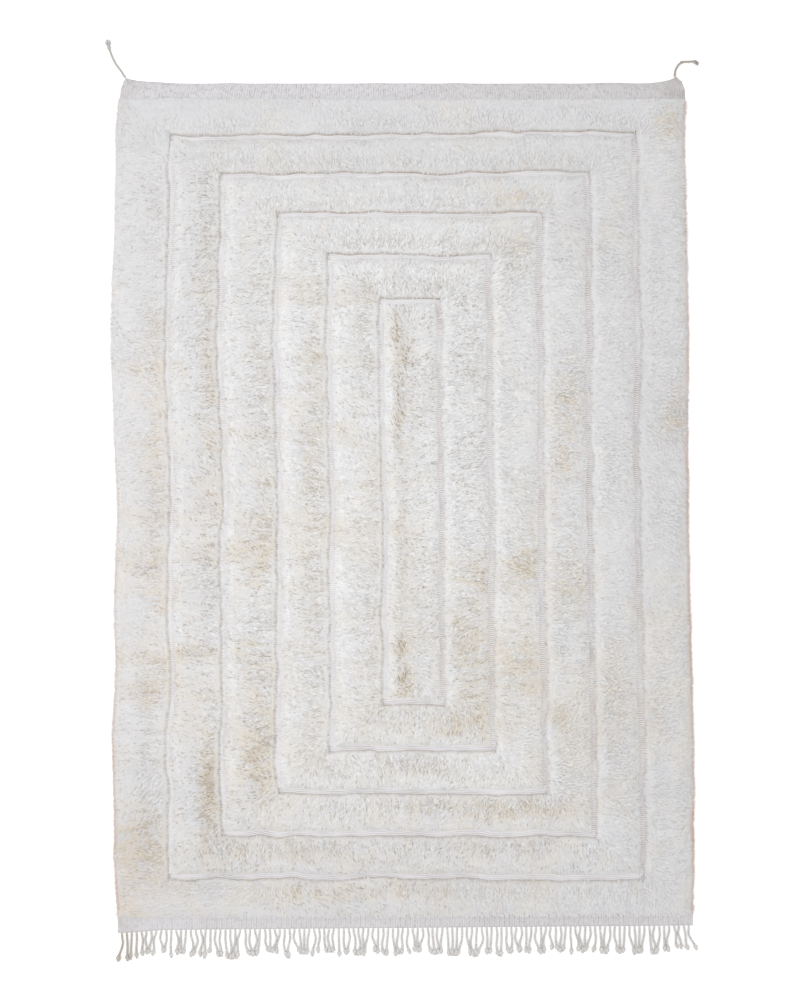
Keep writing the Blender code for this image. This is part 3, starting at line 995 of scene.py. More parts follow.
def endSurface(low, high, openEnd, e, own):
    # points of an end's weave between two distances, its painted shade between the ribs with random speckle, and
    # how much darker and browner it is, most towards its corners and its right. The ribs fade out where the weave is
    # plain.
    columns, lifts = ribSteps(0.0, 1.0, 1.0 / e["count"])
    paired = 1 - own["pairing"] * (np.arange(len(columns)) // 3 % 2)
    rows = np.linspace(low, high, round((high - low) / e["rowStep"]) + 1)
    rowLift = np.where(np.arange(len(rows)) % 2, 1.0, 0.55)[:, None]
    along = rows[:, None]
    x, y = clothPlace(columns[None, :], along)
    if openEnd > 0:
        y = y + e["wave"] * np.linspace(0, 1, len(rows))[:, None] * noiseAt(x * 9, 0.0, 3.6)
    else:
        y = y - cornerSag(x) * smooth(along, rim["bottom"], 0.0)
    uneven = 0.7 + 0.6 * noiseAt(x * 70, y * 70, 4.2)
    strong = 1 - e["plain"] + 0.9 * noiseAt(x * 7, y * 25, 5.1) + 0.5 * noiseAt(x * 45, y * 30, 3.9)
    strong = np.clip(strong, 0.08, 1.0) * (1 - 0.65 * smooth(x, -0.70, -0.95) * (openEnd < 0))
    z = e["level"] + e["height"] * (0.7 + (lifts * rowLift - 0.7) * strong) * uneven
    fromPile = rim["bottom"] - along if openEnd < 0 else along - rim["top"]
    z = z + e["rise"] * smooth(fromPile, 0.013, -0.002)
    # painted shade in the gaps between ribs by the pile's edge
    comb = smooth(fromPile, 0.010, 0.001) * (1 - lifts) * smooth(x, -0.2, 0.6) * (openEnd < 0)
    speckle = noiseAt(x * 170, y * 170, 6.3) + 0.6 * noiseAt(x * 300, y * 300, 2.9)
    speckle = own["speckle"] * np.clip(speckle, 0, 1) + 0.5 * comb
    blotches = noiseAt(x * 60, y * 60, 1.1)
    # darker and browner towards the corners, and towards the right
    brownShare = smooth(x, 0.80, 0.97) * (0.30 + 0.25 * blotches) * (openEnd > 0)
    brownShare = brownShare + own["brownShare"][0] + own["brownShare"][1] * smooth(x, -0.2, 0.5)
    brownShare = brownShare + smooth(x, -0.88, -1.0) * (0.22 + 0.2 * blotches)
    gap = own["gapShade"] * paired * (1 - lifts) * strong + speckle
    return np.stack([x, y, z], axis=-1), np.clip(gap, 0, 1), np.clip(brownShare, 0, 1)


def makeEndWeave(name, low, high, openEnd, e):
    # openEnd is -1 where the cloth's edge is at the low side, and 1 at the high side. A skirt
    # goes down to the floor along that edge and at both selvedges.
    own = e["fringeEnd" if openEnd < 0 else "plainEnd"]
    points, gap, seam = endSurface(low, high, openEnd, e, own)
    skirt = points[0 if openEnd < 0 else -1].copy()
    skirt[:, 2] = e["skirt"]
    skirt[:, 1] += openEnd * e["skirt"]
    points = np.concatenate([skirt[None], points] if openEnd < 0 else [points, skirt[None]])
    sides = points[:, [0, -1]].copy()
    sides[..., 2] = e["skirt"]
    points = np.concatenate([sides[:, :1], points, sides[:, 1:]], axis=1)
    edges = ((1, 0) if openEnd < 0 else (0, 1), (1, 1))
    masks = {"gap": np.pad(gap, edges), "seam": np.pad(seam, edges)}
    obj = newPiece(name, points.reshape(-1, 3).tolist(), gridFaces(*points.shape[:2]), endBandWool)
    planMap(obj)
    return finishPiece(obj, "wool_pile", "rug_body", masks)


fringeEnd = makeEndWeave("fringeEndWeave", 0.0, rim["bottom"] + endRibs["tuckedIn"], -1, endRibs)
plainEndFrom = rim["top"] - endRibs["tuckedIn"]
plainEnd = makeEndWeave("plainEndWeave", plainEndFrom, clothLay["length"], 1, endRibs)
print("end weaves made")


# the yarn under the tips, one ring of it for each band
pileBed = {
    "step": 0.017,
    "below": 0.0012,
    "atEdge": 0.0015,
    "openDrop": 0.0030,
    "underRim": 0.0070,
    "foot": 0.0030,
    "overEdge": (-0.0065, -0.0055),  # how far the outer edge bulges over the weave
    "depths": (0.0, 0.0010, 0.0050, 0.0110, 0.0200, 0.0340, 0.0500),
    "midStep": 0.022,
    "middleGap": 0.002,
    "rimDrop": 0.002,
}


def bedRing(walls, step, stations):
    # points of a turn round a band, step inside its walls: shares of the warps and distances
    bottom, top = walls["bottom"] + step, walls["top"] - step
    across, along = [], []
    for side, share in stations:
        row = {"bottom": bottom, "top": top}.get(side, bottom + share * (top - bottom))
        left, right = (float(v) for v in selvedgeAt(row))
        first = walls["left"] + step / (right - left)
        last = walls["right"] - step / (right - left)
        across.append({"left": first, "right": last}.get(side, first + share * (last - first)))
        along.append(row)
    return np.array(across), np.array(along)


def bedRings(b, band, walls, start, stations):
    # the rings of a band from its outer edge inwards, down to the weave of the next channel,
    # or to the middle of the last band
    first = (b["underRim"],) if band == 0 else b["overEdge"]
    rings = [bedRing(walls, start + d, stations) for d in (*first, *b["depths"][band > 0 :])]
    if band < len(channels):
        inner = [bedRing(channels[band], -d, stations) for d in reversed(b["depths"])]
        gap = (channels[band]["left"] - walls["left"]) * clothLay["width"] - start - 2 * b["depths"][-1]
    else:
        half = (walls["right"] - walls["left"]) * clothLay["width"] / 2 - start
        inner = [bedRing(walls, half - b["middleGap"], stations)]
        gap = half - 2 * b["depths"][-1] - 3 * b["middleGap"]
    spans = max(1, round(gap / b["midStep"]))
    crown = rings[-1]
    for i in range(1, spans):
        rings.append([a + (z - a) * i / spans for a, z in zip(crown, inner[0])])
    rings += inner
    return (np.array([ring[i] for ring in rings]) for i in range(2))


def bedSurface(b, band, walls, start, across, along):
    # the points of a band's bed, and what colours them
    x, y = clothPlace(across, along)
    left, right = selvedgeAt(along)
    near = wallGaps(walls, across, along, right - left) - start
    fromOut = near.min(axis=0)
    toIn = np.full(fromOut.shape, 1.0)
    if band < len(channels):
        toIn = -wallGaps(channels[band], across, along, right - left).min(axis=0)
    gaps = np.minimum(fromOut, toIn)
    outX, outY = outwards(near)
    z = pileHeight(band, fromOut, toIn, outX, pileLumps(x, y))
    z = z - b["below"] - b["atEdge"] * smooth(gaps, 0.006, 0.0)
    cream, opened = patchMasks(x, y)
    rough = ruffle(x, y, np.clip(fromOut, 0, None), np.clip(toIn, 0, None), outX)
    z = np.maximum(z - b["openDrop"] * opened * smooth(gaps, 0.0, 0.01) - 0.001 * rough, b["foot"])
    z[0] = b["foot"]
    if band == 0:
        z[1] -= b["rimDrop"]
    else:  # it stays clear of the channel below it
        z[:2] = b["foot"] + (z[:2] - b["foot"]) * (1 - smooth(-outY[:2], 0.5, 0.9))
    if band < len(channels):
        z[-1] = b["foot"]
    # the bed shows between locks: roots' brown and painted shade, more where rough or opened, and at channel walls
    root = 0.05 + 0.08 * rough + 0.05 * opened + wallShade(toIn, outX, outY)
    masks = {
        "cream": cream,
        "rootsAndShade": np.clip(root + rimShade(band, fromOut, outX), 0, 1),
        "bright": drapeHighlight(band, fromOut, toIn, outX, rough),
        "rim": rimTintAndShade(x, y, fromOut, outX) * (band == 0),
    }
    return np.stack([x, y, z], axis=-1).reshape(-1, 3), masks


def middleFaces(first, ends, sides):
    # rungs that close the last ring, between its left and right sides, from bottom to top
    row = list(range(first, first + 2 * (ends + sides)))
    bottomSide, topSide = row[: ends + 1], row[ends + sides : 2 * ends + sides + 1]
    rightSide = row[ends : ends + sides + 1]
    leftSide = [row[0]] + row[: 2 * ends + sides - 1 : -1]
    rungs = [list(r) for r in zip(leftSide, rightSide, rightSide[1:], leftSide[1:])]
    rungs[0] = bottomSide + [rightSide[1], leftSide[1]]
    rungs[-1] = [leftSide[sides - 1], rightSide[sides - 1]] + topSide
    return rungs


def makePileBed(b):
    points, faces, shades = [], [], []
    count = 0
    for band, walls in enumerate([rim, *channels]):
        start = 0.0 if band == 0 else channelWidth
        ends = max(4, round((walls["right"] - walls["left"]) * clothLay["width"] / b["step"]))
        sides = max(4, round((walls["top"] - walls["bottom"]) / b["step"]))
        stations = [("bottom", i / ends) for i in range(ends)]
        stations += [("right", i / sides) for i in range(sides)]
        stations += [("top", 1 - i / ends) for i in range(ends)]
        stations += [("left", 1 - i / sides) for i in range(sides)]
        across, along = bedRings(b, band, walls, start, stations)
        found, own = bedSurface(b, band, walls, start, across, along)
        points.append(found)
        shades.append(own)
        faces += (np.array(gridFaces(*across.shape, wrap=True)) + count).tolist()
        count += across.size
    faces += middleFaces(count - len(stations), ends, sides)
    obj = newPiece("pileBed", np.concatenate(points).tolist(), faces, woolPile)
    planMap(obj)
    masks = {key: np.concatenate([own[key].ravel() for own in shades]) for key in shades[0]}
    return finishPiece(obj, "wool_pile", "rug_body", masks)


bed = makePileBed(pileBed)
print("pile bed made:", len(bed.data.polygons), "faces")


# the yarn tips, modelled once and copied all over the bands
pileLocks = {
    "pitch": 0.0056,
    "span": 2.02,  # what the rows of locks reach across
    "jitter": 0.46,
    "halfWidth": 0.0023,
    "reach": 0.0200,
    "overRim": 0.0040,
    "overChannel": 0.0075,
    "middle": 0.45,
    "sunk": 0.0011,  # root below the pile's surface, then the middle and the tip above it
    "crest": 0.0005,
    "tip": -0.0001,
    "ruffled": 0.0016,
    "roll": 0.10,
    "edgeKeep": 0.0020,
    "hemPitch": 0.0066,  # the row of knots along a channel's outer wall
    "hemIn": -0.0026,
    "hemJitter": 0.0022,
    "hemFoot": 0.0060,
    "hemKeep": 0.0035,
    "hemWidth": 0.0021,
    "tickShares": (0.65, 0.65, 0.55, 0.40, 0.30, 0.0),  # hem knots painted brown, partly painted shade, by band
    "leanFrom": 0.014,  # near a channel, some locks lean over it
    "leanShares": {"left": 0.80, "right": 0.38, "ends": 0.16},
    "overEnds": (0.0100, 0.0005),
    "strandShares": (0.080, 0.180, 0.090),  # painted shadow as thin dark locks: in smooth, rough and opened pile
    "creaseShare": 0.35,
    "partingShare": 0.34,
    "strandWidth": 0.0010,
    "strandReach": 0.55,
    "strandLift": 0.0006,
    "tickLift": 0.0018,
    "clumpPitch": 0.017,
    "busyness": {  # how busy the pile looks, by band, and at its ends
        "left": (0.95, 1.25, 1.20, 1.05, 1.10, 0.80),
        "right": (0.65, 0.74, 0.83, 0.92, 1.17, 1.17),
        "fringeEnd": 1.15,
        "outerTop": 0.25,
    },
    "shades": {  # how far a lock's root or whole lock is dark: roots' brown, painted shade and painted shadow
        "root": 0.08,
        "rough": 0.10,
        "opened": 0.04,
        "speck": (0.20, 0.30),  # in plain pile, and how much more where it is opened
        "hem": (0.15, 0.60),  # the least, and how much it varies, as in the next three
        "strand": (0.24, 0.50),
        "strandParting": (0.10, 0.35),
        "tick": (0.15, 0.40),
        "tickOnRight": 0.20,
        "strandOpened": 0.25,
        "any": 0.08,
        "peach": 0.16,  # at the far left
    },
    "unevenness": {"least": 0.24, "byBand": 0.13, "opened": 0.35, "parting": 0.50},  # of the white
    # slow random tone, and painted highlights on the locks in opened pile and in the parting
    "brightness": {"slow": 0.14, "opened": 0.20, "parting": 0.30},
    "seed": 7,
}


def lockShape(middle):
    # one lock: a root, a broad middle and a tip, with a keel from root to tip along its
    # underside. It runs along Z from 0 to 1, and keeps its own map.
    bpy.ops.mesh.primitive_cone_add(vertices=3, radius1=1.0, depth=1.0, location=(0, 0, 0.5))
    obj = bpy.context.object
    bpy.ops.object.transform_apply(location=True, rotation=True, scale=True)
    bpy.ops.object.mode_set(mode="EDIT")
    bpy.ops.mesh.select_all(action="SELECT")
    bpy.ops.uv.smart_project(angle_limit=1.15, island_margin=0.04)
    bpy.ops.object.mode_set(mode="OBJECT")
    mesh = obj.data
    points = np.array([v.co for v in mesh.vertices])
    base = np.flatnonzero(points[:, 2] < 0.5)
    base = base[np.argsort(np.arctan2(points[base, 1], points[base, 0]))]
    points[base[0]] = (0, 0, 0)
    points[base[1]] = (-1, 0, middle)
    points[base[2]] = (1, 0, middle)
    faces = np.array([p.vertices for p in mesh.polygons])
    flat = mesh.uv_layers.active.data
    corners = np.array([flat[i].uv for p in mesh.polygons for i in p.loop_indices])
    bpy.data.objects.remove(obj)
    bpy.data.meshes.remove(mesh)
    return points, faces, corners.reshape(len(faces), 3, 2)


def clumpCentre(x, y, pitch):
    # the middle of the clump that a place belongs to: the nearest of a jittered lattice's points
    best = np.full(x.shape, 9.0)
    centreX, centreY = x.copy(), y.copy()
    i0, j0 = np.floor(x / pitch).astype(int), np.floor(y / pitch).astype(int)
    for di in (-1, 0, 1):
        for dj in (-1, 0, 1):
            i, j = i0 + di, j0 + dj
            a = np.modf(np.sin(i * 127.1 + j * 311.7) * 43758.5453)[0]
            b = np.modf(np.sin(i * 269.5 + j * 183.3) * 24634.6345)[0]
            px, py = (i + 0.5 + 0.38 * a) * pitch, (j + 0.5 + 0.38 * b) * pitch
            gap = np.hypot(px - x, py - y)
            near = gap < best
            best = np.where(near, gap, best)
            centreX, centreY = np.where(near, px, centreX), np.where(near, py, centreY)
    return centreX, centreY


def hemRow(k, rng):
    # places of the knots along every channel's outer wall
    across, along = [], []
    for c in channels:
        for side in ("left", "right"):
            rows = np.arange(c["bottom"], c["top"], k["hemPitch"])
            left, right = selvedgeAt(rows)
            way = -1 if side == "left" else 1
            out = k["hemIn"] + rng.uniform(-1, 1, rows.shape) * k["hemJitter"]
            across.append(c[side] + way * out / (right - left))
            along.append(rows)
        for side, way in (("bottom", -1), ("top", 1)):
            shares = np.arange(c["left"], c["right"], k["hemPitch"] / clothLay["width"])
            out = k["hemIn"] + rng.uniform(-1, 1, shares.shape) * k["hemJitter"]
            across.append(shares)
            along.append(c[side] + way * out)
    return np.concatenate(across), np.concatenate(along)


def scatterLocks(k):
    rng = np.random.default_rng(k["seed"])
    long = rim["top"] - rim["bottom"]
    columns, rows = int(k["span"] / k["pitch"]), int(long / k["pitch"])
    across, along = np.meshgrid((np.arange(columns) + 0.5) / columns, (np.arange(rows) + 0.5) / rows)
    across = across + rng.uniform(-1, 1, across.shape) * k["jitter"] / columns
    along = along + rng.uniform(-1, 1, along.shape) * k["jitter"] / rows
    across, along = across.ravel(), rim["bottom"] + along.ravel() * long
    hemAcross, hemAlong = hemRow(k, rng)
    hem = np.concatenate([np.zeros(across.shape), np.ones(hemAcross.shape)]) > 0
    across, along = np.concatenate([across, hemAcross]), np.concatenate([along, hemAlong])
    band, fromOut, toIn, outX, outY = bandPlace(across, along, k["hemJitter"] - k["hemIn"] + 0.001)
    keep = (band >= 0) & (hem | ((fromOut > k["edgeKeep"]) & (toIn > k["hemKeep"])))
    found = {"across": across, "along": along, "band": band, "fromOut": fromOut, "toIn": toIn}
    found.update({"outX": outX, "outY": outY, "hem": hem})
    return rng, SimpleNamespace(**{key: value[keep] for key, value in found.items()})


def aimLocks(k, rng, at):
    # which way each lock lies: mostly outwards, fanned by slow swirls. Some lean over the
    # next channel inwards, and at the fringed end's left they lie smoothly sideways.
    swirl = 1.1 * noiseAt(at.x * 3.5, at.y * 3.5, 3.3) + 0.6 * noiseAt(at.x * 21, at.y * 21, 6.1)
    swirl = swirl + rng.normal(0, 1, at.count) * (0.12 + 0.25 * at.rough)
    swirl = swirl - 1.15 * at.opened * np.sign(-at.outX) * (at.band == 5)
    shares = [k["leanShares"][side] for side in ("left", "right", "ends")]
    chance = np.select([at.outX < -0.7, at.outX > 0.7], shares[:2], shares[2])
    chance = chance * smooth(at.toIn, k["leanFrom"], 0.5 * k["leanFrom"])
    at.leans = (rng.random(at.count) < chance) & ~at.hem
    flips = (at.band == 5) & (rng.random(at.count) < 0.5 * smooth(at.fromOut, 0.055, 0.085))
    at.wayX, at.wayY = (out * np.where(at.leans | flips, -1, 1) for out in (at.outX, at.outY))
    angle = np.arctan2(at.wayY, at.wayX) + swirl * np.where(at.leans, 0.6, 1.0)
    at.angle = angle - 1.3 * at.sideways


def pickYarns(k, rng, at):
    # thin locks painted dark, a painted shadow of the gaps, run in streaks the way the pile lies, and along a few
    # creases
    runs, crosses = at.x * at.outX + at.y * at.outY, at.y * at.outX - at.x * at.outY
    streak = np.clip(1.0 + 2.6 * noiseAt(runs * 16, crosses * 85, 5.8), 0.1, 2.6)
    crease = np.exp(-((noiseAt(at.x * 5, at.y * 15, 2.1) / 0.035) ** 2))
    crease = crease * smooth(noiseAt(at.x * 2, at.y * 2, 8.4), -0.1, 0.3)
    smooths, roughs, openeds = k["strandShares"]
    chance = (smooths + roughs * at.rough + openeds * at.opened) * streak
    chance = chance + k["creaseShare"] * crease * (1 - 0.7 * smooth(at.outX, -0.5, 0.5))
    busyness = k["busyness"]
    left, right = (np.array(busyness[side])[at.band] for side in ("left", "right"))
    busy = np.where(at.outY < -0.5, busyness["fringeEnd"], right)
    busy = np.where(at.outX < -0.5, left, busy)
    # the outer band is calm at the plain end, and on the right of the fringed end
    calm = at.low * smooth(at.x, -0.1, 0.4)
    top = (at.band == 0) & (at.outY > 0.5)
    busy = busy * (1 - 0.5 * at.sideways - 0.55 * calm) * np.where(top, busyness["outerTop"], 1.0)
    # in the parting down the middle long dark locks lie one by one on bright ones: brown roots and painted shadow
    chance = chance * busy * (1 - at.middle) + k["partingShare"] * at.middle
    at.busy = busy + 0.6 * at.middle
    at.strand = (rng.random(at.count) < chance) & ~at.hem
    ticked = rng.random(at.count) < np.array(k["tickShares"])[at.band]
    at.tick = at.hem & (np.abs(at.outX) > 0.5) & ticked


def reachLocks(k, rng, at):
    # how far each lock lies along: it gathers to its clump's middle, and stops a little past
    # the edge that it hangs over
    reach = k["reach"] * (0.7 + 0.6 * rng.random(at.count)) * (1 - 0.45 * at.opened)
    reach = reach * np.where(at.hem, 0.7, 1.0)
    reach = reach * np.where(at.strand, k["strandReach"] * (1 + 1.4 * at.opened), 1.0)
    reach = reach * np.where(at.leans, 0.8, 1.0)
    centreX, centreY = clumpCentre(at.x, at.y, k["clumpPitch"])
    gather = 0.05 + 0.15 * at.rough + 0.15 * at.opened
    leadX = np.cos(at.angle) * reach + (centreX - at.x) * gather
    leadY = np.sin(at.angle) * reach + (centreY - at.y) * gather
    onEnd, onLeft = np.abs(at.outY) > 0.7, smooth(-at.outX, 0.5, 0.9) * (at.band < 3)
    overFringe = k["overEnds"][0] * (1 - 0.8 * smooth(at.x, -0.3, -0.8))
    ends = np.where(onEnd, np.where(at.outY < 0, overFringe, k["overEnds"][1]), k["overRim"])
    over = np.where(at.band > 0, k["overChannel"] * (1 + 0.7 * onLeft), ends)
    over = over * np.where((at.band > 0) & (at.outY < -0.7), 0.25, 1.0)
    over = over * (0.3 + 1.3 * rng.random(at.count))
    outward = np.maximum(leadX * at.wayX + leadY * at.wayY, 1e-4)
    short = np.clip((np.where(at.leans, at.toIn, at.fromOut) + over) / outward, 0.25, 1.0)
    at.leadX, at.leadY = leadX * short, leadY * short


def raiseLocks(k, rng, at):
    # each lock follows the pile's surface from its sunk root, over its middle, to its tip
    left, right = selvedgeAt(at.along)
    heights, rims = [], []
    for share in (0.0, k["middle"], 1.0):
        across, along = at.across + at.leadX * share / (right - left), at.along + at.leadY * share
        sides, inner = edgeGaps(across, along)
        gaps = pick(sides.min(axis=1), at.band), pick(inner, at.band)
        heights.append(pileHeight(at.band, *gaps, at.outX, at.lumps))
        rims.append(rimTintAndShade(at.x, at.y, gaps[0], at.outX) * (at.band == 0))
    unruly = k["ruffled"] * np.maximum(at.rough, at.opened)
    at.speck = rng.random(at.count) < 0.02 + 0.08 * at.rough + 0.12 * at.opened
    heights[0] -= (k["sunk"] + unruly + (0.0010 + 0.0015 * at.speck) * at.opened) * ~at.strand
    heights[1] += k["crest"] * (0.5 + rng.random(at.count)) + 0.3 * unruly * rng.random(at.count)
    heights[2] += k["tip"] + (0.15 * k["sunk"] + 0.4 * unruly) * rng.normal(0, 1, at.count)
    heights = np.array(heights) + k["strandLift"] * at.strand + k["tickLift"] * at.tick
    heights[0] = np.where(at.hem & ~at.tick, k["hemFoot"], heights[0])
    return heights, np.array(rims)


def placeLocks(k, rng, at, points, heights):
    # every lock's own points, from the points of the one that was modelled
    wide = np.where(at.hem, k["hemWidth"], k["halfWidth"]) * (0.75 + 0.5 * rng.random(at.count))
    wide = wide * (1 - 0.25 * at.opened)
    thin = k["strandWidth"] * (0.7 + 0.6 * rng.random(at.count)) * (1 + 0.15 * at.opened)
    wide = np.where(at.strand | at.tick, thin, wide)
    roll = rng.normal(0, 1, at.count) * k["roll"] * (0.4 + 1.2 * np.maximum(at.rough, at.opened))
    reach = np.hypot(at.leadX, at.leadY)
    h = points[:, 2]
    side = points[None, :, 0] * wide[:, None]
    px = at.x[:, None] + at.leadX[:, None] * h - (at.leadY / reach)[:, None] * side
    py = at.y[:, None] + at.leadY[:, None] * h + (at.leadX / reach)[:, None] * side
    pz = np.maximum(heights.T + side * roll[:, None], 0.0012)
    return np.stack([px, py, pz], axis=-1)


def colourLocks(k, rng, at, h, rims):
    # what colours the locks, whose points are h of the way along them
    c = k["shades"]
    # darker towards the root: roots' brown and painted shade deep in the pile, and painted shade at channel walls
    root = c["root"] + c["rough"] * at.rough + c["opened"] * at.opened
    root = root + wallShade(at.toIn, at.outX, at.outY) * ~at.hem
    root = root + at.speck * (c["speck"][0] + c["speck"][1] * at.opened)
    # knots at the outer walls have dark roots: their brown, with painted shade at the wall's foot
    root = root + at.hem * (c["hem"][0] + c["hem"][1] * rng.random(at.count) ** 2)
    shade = root[:, None] * (1 - h)[None, :] ** 2
    shade = shade + rimShade(at.band, at.fromOut, at.outX)[:, None]
    # thin locks painted dark as painted shadow between locks, and in the parting also the brown of exposed roots
    least, varies = (own + more * at.middle for own, more in zip(c["strand"], c["strandParting"]))
    dark = at.strand * (least + c["strandOpened"] * at.opened**2 + varies * rng.random(at.count))
    dark = dark * np.clip(at.busy, 0.6, 1.4)
    # ticks: the knots' brown, partly painted shade of the gaps between knots
    brown = c["tick"][0] + c["tickOnRight"] * (at.outX > 0) + c["tick"][1] * rng.random(at.count)
    dark = dark + at.tick * brown + c["any"] * rng.random(at.count) * np.clip(at.busy, 0, 1)
    spread, lift = k["unevenness"], k["brightness"]
    uneven = spread["least"] + spread["byBand"] * np.clip(at.band, 0, 4)
    uneven = uneven * np.clip(at.busy, 0.25, 1.2)
    uneven = uneven + spread["opened"] * at.opened + spread["parting"] * at.middle
    uneven = brightStep * uneven * rng.normal(0, 1, at.count)
    # painted highlights where the pile drapes and on middle bands, random tone, and painted highlights where opened
    bright = drapeHighlight(at.band, at.fromOut, at.toIn, at.outX, at.rough)
    bright = bright + lift["slow"] * noiseAt(at.x * 2.3, at.y * 2.9, 4.7)
    bright = bright + uneven + lift["opened"] * at.opened + lift["parting"] * at.middle
    cream = at.cream * (0.5 + rng.random(at.count)) + rng.normal(0, 0.15, at.count)
    peach = c["peach"] * np.clip(at.cream, 0, 1) * smooth(at.x, -0.5, -0.8)
    masks = {
        "rootsAndShade": np.maximum(shade, dark[:, None]),
        "cream": np.repeat(cream[:, None], len(h), axis=1),
        "bright": np.repeat(bright[:, None], len(h), axis=1),
        "rim": rims.T + peach[:, None],
    }
    return {key: np.clip(values, 0, 1.3) for key, values in masks.items()}


def growLocks(k, points):
    # at holds what is known of every lock: where it stands, what the pile is like there, and
    # how it lies
    rng, at = scatterLocks(k)
    at.count = len(at.band)
    at.x, at.y = clothPlace(at.across, at.along)
    at.cream, at.opened = patchMasks(at.x, at.y)
    at.lumps = pileLumps(at.x, at.y)
    at.rough = ruffle(at.x, at.y, at.fromOut, at.toIn, at.outX)
    at.middle = (at.band == 5) * at.opened
    at.low = (at.band == 0) & (at.outY < -0.5)
    at.sideways = at.low * smooth(at.x, -0.35, -0.65)
    aimLocks(k, rng, at)
    pickYarns(k, rng, at)
    reachLocks(k, rng, at)
    heights, rims = raiseLocks(k, rng, at)
    h = points[:, 2]
    row = np.searchsorted((0.0, k["middle"], 1.0), h - 1e-4)
    placed = placeLocks(k, rng, at, points, heights[row])
    return at, placed, colourLocks(k, rng, at, h, rims[row])


def cellMap(obj, corners, count):
    # each lock has its own cell of the map
    columns = math.ceil(math.sqrt(count))
    cells = np.arange(count)
    place = np.stack([cells % columns, cells // columns], axis=-1)[:, None, None, :]
    flat = (place + 0.06 + 0.88 * corners[None]) / columns
    layer = obj.data.uv_layers.new(name="OFBake")
    layer.data.foreach_set("uv", flat.astype(np.float32).ravel())


def makePileLocks(k):
    lockPoints, faces, corners = lockShape(k["middle"])
    at, points, masks = growLocks(k, lockPoints)
    leftHalf = at.across < 0.5
    groups = {
        "outerBandLeft": (at.band == 0) & leftHalf,
        "outerBandRight": (at.band == 0) & ~leftHalf,
        "secondBandLeft": (at.band == 1) & leftHalf,
        "secondBandRight": (at.band == 1) & ~leftHalf,
        "thirdBand": at.band == 2,
        "fourthBand": at.band == 3,
        "innerBands": at.band >= 4,
    }
    made = []
    for name, chosen in groups.items():
        count = int(chosen.sum())
        first = np.arange(count)[:, None, None] * points.shape[1]
        allPoints, allFaces = points[chosen].reshape(-1, 3), (faces[None] + first).reshape(-1, 3)
        obj = newPiece(name + "Pile", allPoints.tolist(), allFaces.tolist(), woolPile)
        bpy.context.view_layer.objects.active = obj
        obj.select_set(True)
        bpy.ops.object.shade_smooth_by_angle(angle=math.radians(50))
        bpy.ops.object.select_all(action="DESELECT")
        cellMap(obj, corners, count)
        own = {key: values[chosen] for key, values in masks.items()}
        made.append(finishPiece(obj, "wool_pile", "rug_body", own))
        print("pile locks:", name, count, "locks", len(allFaces), "triangles")
    return made


locks = makePileLocks(pileLocks)


# the warp fringe: plied strands, each ending in a knot
fringePlan = {
    "count": 116,
    "margin": 0.006,
    "tuckedIn": 0.0012,  # how far the strands' thin roots reach into the cloth's edge
    "rootRadius": 0.0016,
    "rootShare": 0.07,
    "radius": 0.0035,
    "plyDepth": 0.34,
    "knotAt": 0.87,
    "knotSpread": 0.060,
    "knotRadius": 0.0080,
    "knotPitch": 0.0105,
    "length": 0.0925,
    "varies": 0.010,
    "aside": 0.005,  # how far a gathered group's knots lie to one side
    "sway": 0.0048,
    "bend": 1.7,
    "leftLean": -0.010,
    "rightLeans": (0.016, 0.026),
    "twist": 0.0120,
    "sides": 6,
    "spans": 52,
}


def strandPlan(f):
    # each strand's root, tip and length. The knots gather in twos, threes and fours.
    rng = random.Random(11)
    left, right = (float(v) for v in selvedgeAt(0.0))
    pitch = (right - left - 2 * f["margin"]) / f["count"]
    plan = []
    while len(plan) < f["count"]:
        size = min(rng.choice((1, 2, 3, 3, 4)), f["count"] - len(plan))
        first = left + f["margin"] + pitch * (len(plan) + 0.5)
        middle = first + pitch * (size - 1) / 2 + rng.uniform(-1, 1) * f["aside"]
        length = f["length"] + rng.uniform(-1, 1) * f["varies"]
        for j in range(size):
            tip = middle + (j - (size - 1) / 2) * f["knotPitch"] * rng.uniform(0.7, 1.0)
            strand = {"root": first + pitch * j, "tip": tip}
            strand["length"] = length + rng.uniform(-1, 1) * 0.5 * f["varies"]
            strand["sway"] = rng.uniform(-1, 1) * f["sway"]
            strand["phase"] = rng.uniform(-1.4, 1.4)
            plan.append(strand)
    for i, lean in zip((0, -2, -1), (f["leftLean"], *f["rightLeans"])):
        plan[i]["tip"] = plan[i]["root"] + lean
    return plan


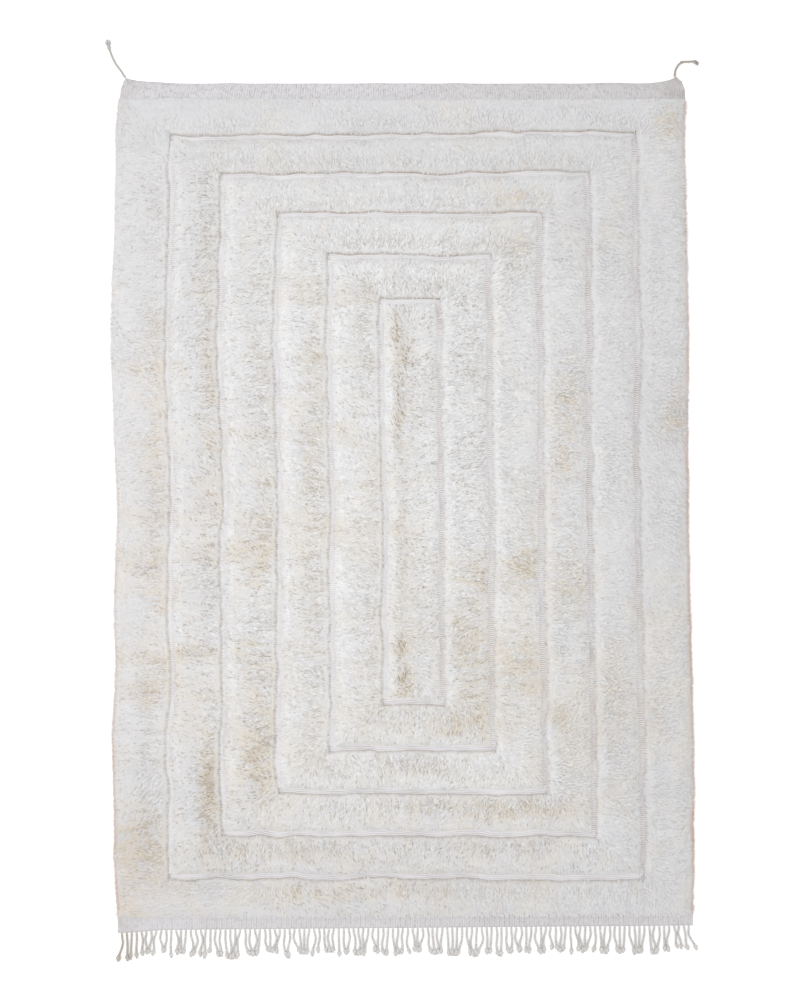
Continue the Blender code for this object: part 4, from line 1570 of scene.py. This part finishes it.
def makeFringe(f):
    rng = random.Random(23)
    left, right = (float(v) for v in selvedgeAt(0.0))
    tubes = []
    for strand in strandPlan(f):
        across = (strand["root"] - left) / (right - left)
        rootY = float(clothPlace(across, 0.0)[1] - cornerSag(strand["root"])) + f["tuckedIn"]
        knotAt = f["knotAt"] + rng.uniform(-0.03, 0.02)
        knotSpread = f["knotSpread"] * rng.uniform(0.8, 1.3)
        knotRadius = f["knotRadius"] * rng.uniform(0.85, 1.15)
        route, radii, depths = [], [], []
        for i in range(f["spans"] + 1):
            share = i / f["spans"]
            x = strand["root"] + (strand["tip"] - strand["root"]) * share ** f["bend"]
            swing = math.sin(2 * math.pi * share + strand["phase"])
            swing -= math.sin(strand["phase"]) * (1 - share)
            x += strand["sway"] * swing * min(1.0, 3 * share)
            radius, depth = f["radius"] * (1 + 0.10 * share), f["plyDepth"]
            knot = math.exp(-(((share - knotAt) / knotSpread) ** 2))
            if share > knotAt:
                radius, depth = f["radius"] * 1.25, 0.15
            radius += (knotRadius - radius) * knot
            radius += (f["rootRadius"] - radius) * (1 - float(smooth(share, 0.0, f["rootShare"])))
            depth *= 1 - 0.7 * knot
            route.append((x, rootY - strand["length"] * share, radius * (1 + depth)))
            radii.append(radius)
            depths.append(depth)
        phase = rng.uniform(0, 3.14)
        tubes.append(yarnTube(route, radii, depths, f["twist"], f["sides"], phase))
    points, faces = joinTubes(tubes)
    obj = newPiece("fringeStrands", points, faces, fringeYarn)
    x = np.array([p[0] for p in points])
    # the yarn is browner at the far left, and a little towards both sides
    brownShare = 0.7 * smooth(x, -0.86, -1.0) + 0.10 * smooth(np.abs(x), 0.3, 0.9)
    return finishPiece(obj, "warp_yarn", "fringe", {"brownShare": brownShare})


fringeYarn = makeYarn("fringeYarn", (0.640, 0.618, 0.602), (0.850, 0.832, 0.820))
fringe = makeFringe(fringePlan)
print("fringe made:", len(fringe.data.polygons), "faces")

# the rug is one cloth, laid flat
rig.sheet(ground, flat=(2.0, 2.93), held="laid", with_pieces=[channelWeave, fringeEnd, plainEnd, bed, *locks])


# floor and light
studio = {
    "floor": (0.93, 0.93, 0.93),
    "floorGlow": 0.30,
    "floorSize": 16.0,
    "lampPlace": (-1.3, 0.2, 2.6),
    "lampSize": 2.0,
    "lampPower": 17.0,
    "sky": 0.86,
}


def makeStudio(s):
    bpy.ops.mesh.primitive_plane_add(size=s["floorSize"], location=(0, 0, -0.0005))
    floor = bpy.context.object
    floor.name = "paleFloor"
    material, _, shader = newMaterial("palePaint")
    shader.inputs["Base Color"].default_value = (*s["floor"], 1.0)
    shader.inputs["Roughness"].default_value = 0.9
    shader.inputs["Specular IOR Level"].default_value = 0.0
    shader.inputs["Emission Color"].default_value = (1.0, 1.0, 1.0, 1.0)
    shader.inputs["Emission Strength"].default_value = s["floorGlow"]
    floor.data.materials.append(material)
    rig.stage(floor)
    lampData = bpy.data.lights.new("softbox", "AREA")
    lampData.shape = "SQUARE"
    lampData.size = s["lampSize"]
    lampData.energy = s["lampPower"]
    lamp = bpy.data.objects.new("softbox", lampData)
    lamp.location = s["lampPlace"]
    lamp.visible_camera = False
    lamp.rotation_euler = (-Vector(s["lampPlace"])).to_track_quat("-Z", "Y").to_euler()
    bpy.context.scene.collection.objects.link(lamp)
    world = bpy.data.worlds.new("studioSky")
    world.use_nodes = True
    background = world.node_tree.nodes["Background"]
    background.inputs["Color"].default_value = (1.0, 1.0, 1.0, 1.0)
    background.inputs["Strength"].default_value = s["sky"]
    bpy.context.scene.world = world
    bpy.context.scene.view_settings.view_transform = "Standard"


makeStudio(studio)
print("studio made")

newPieces = [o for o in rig.pieces() if "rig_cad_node" not in o]
triangles = sum(len(p.vertices) - 2 for o in newPieces for p in o.data.polygons)
print("scene finished with", triangles, "triangles")
sizes = {"cad": [list(v) for v in cadBox], "visual": [list(v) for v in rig.bounds()]}
with open("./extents.json", "w") as out:
    json.dump(sizes, out, indent=1)
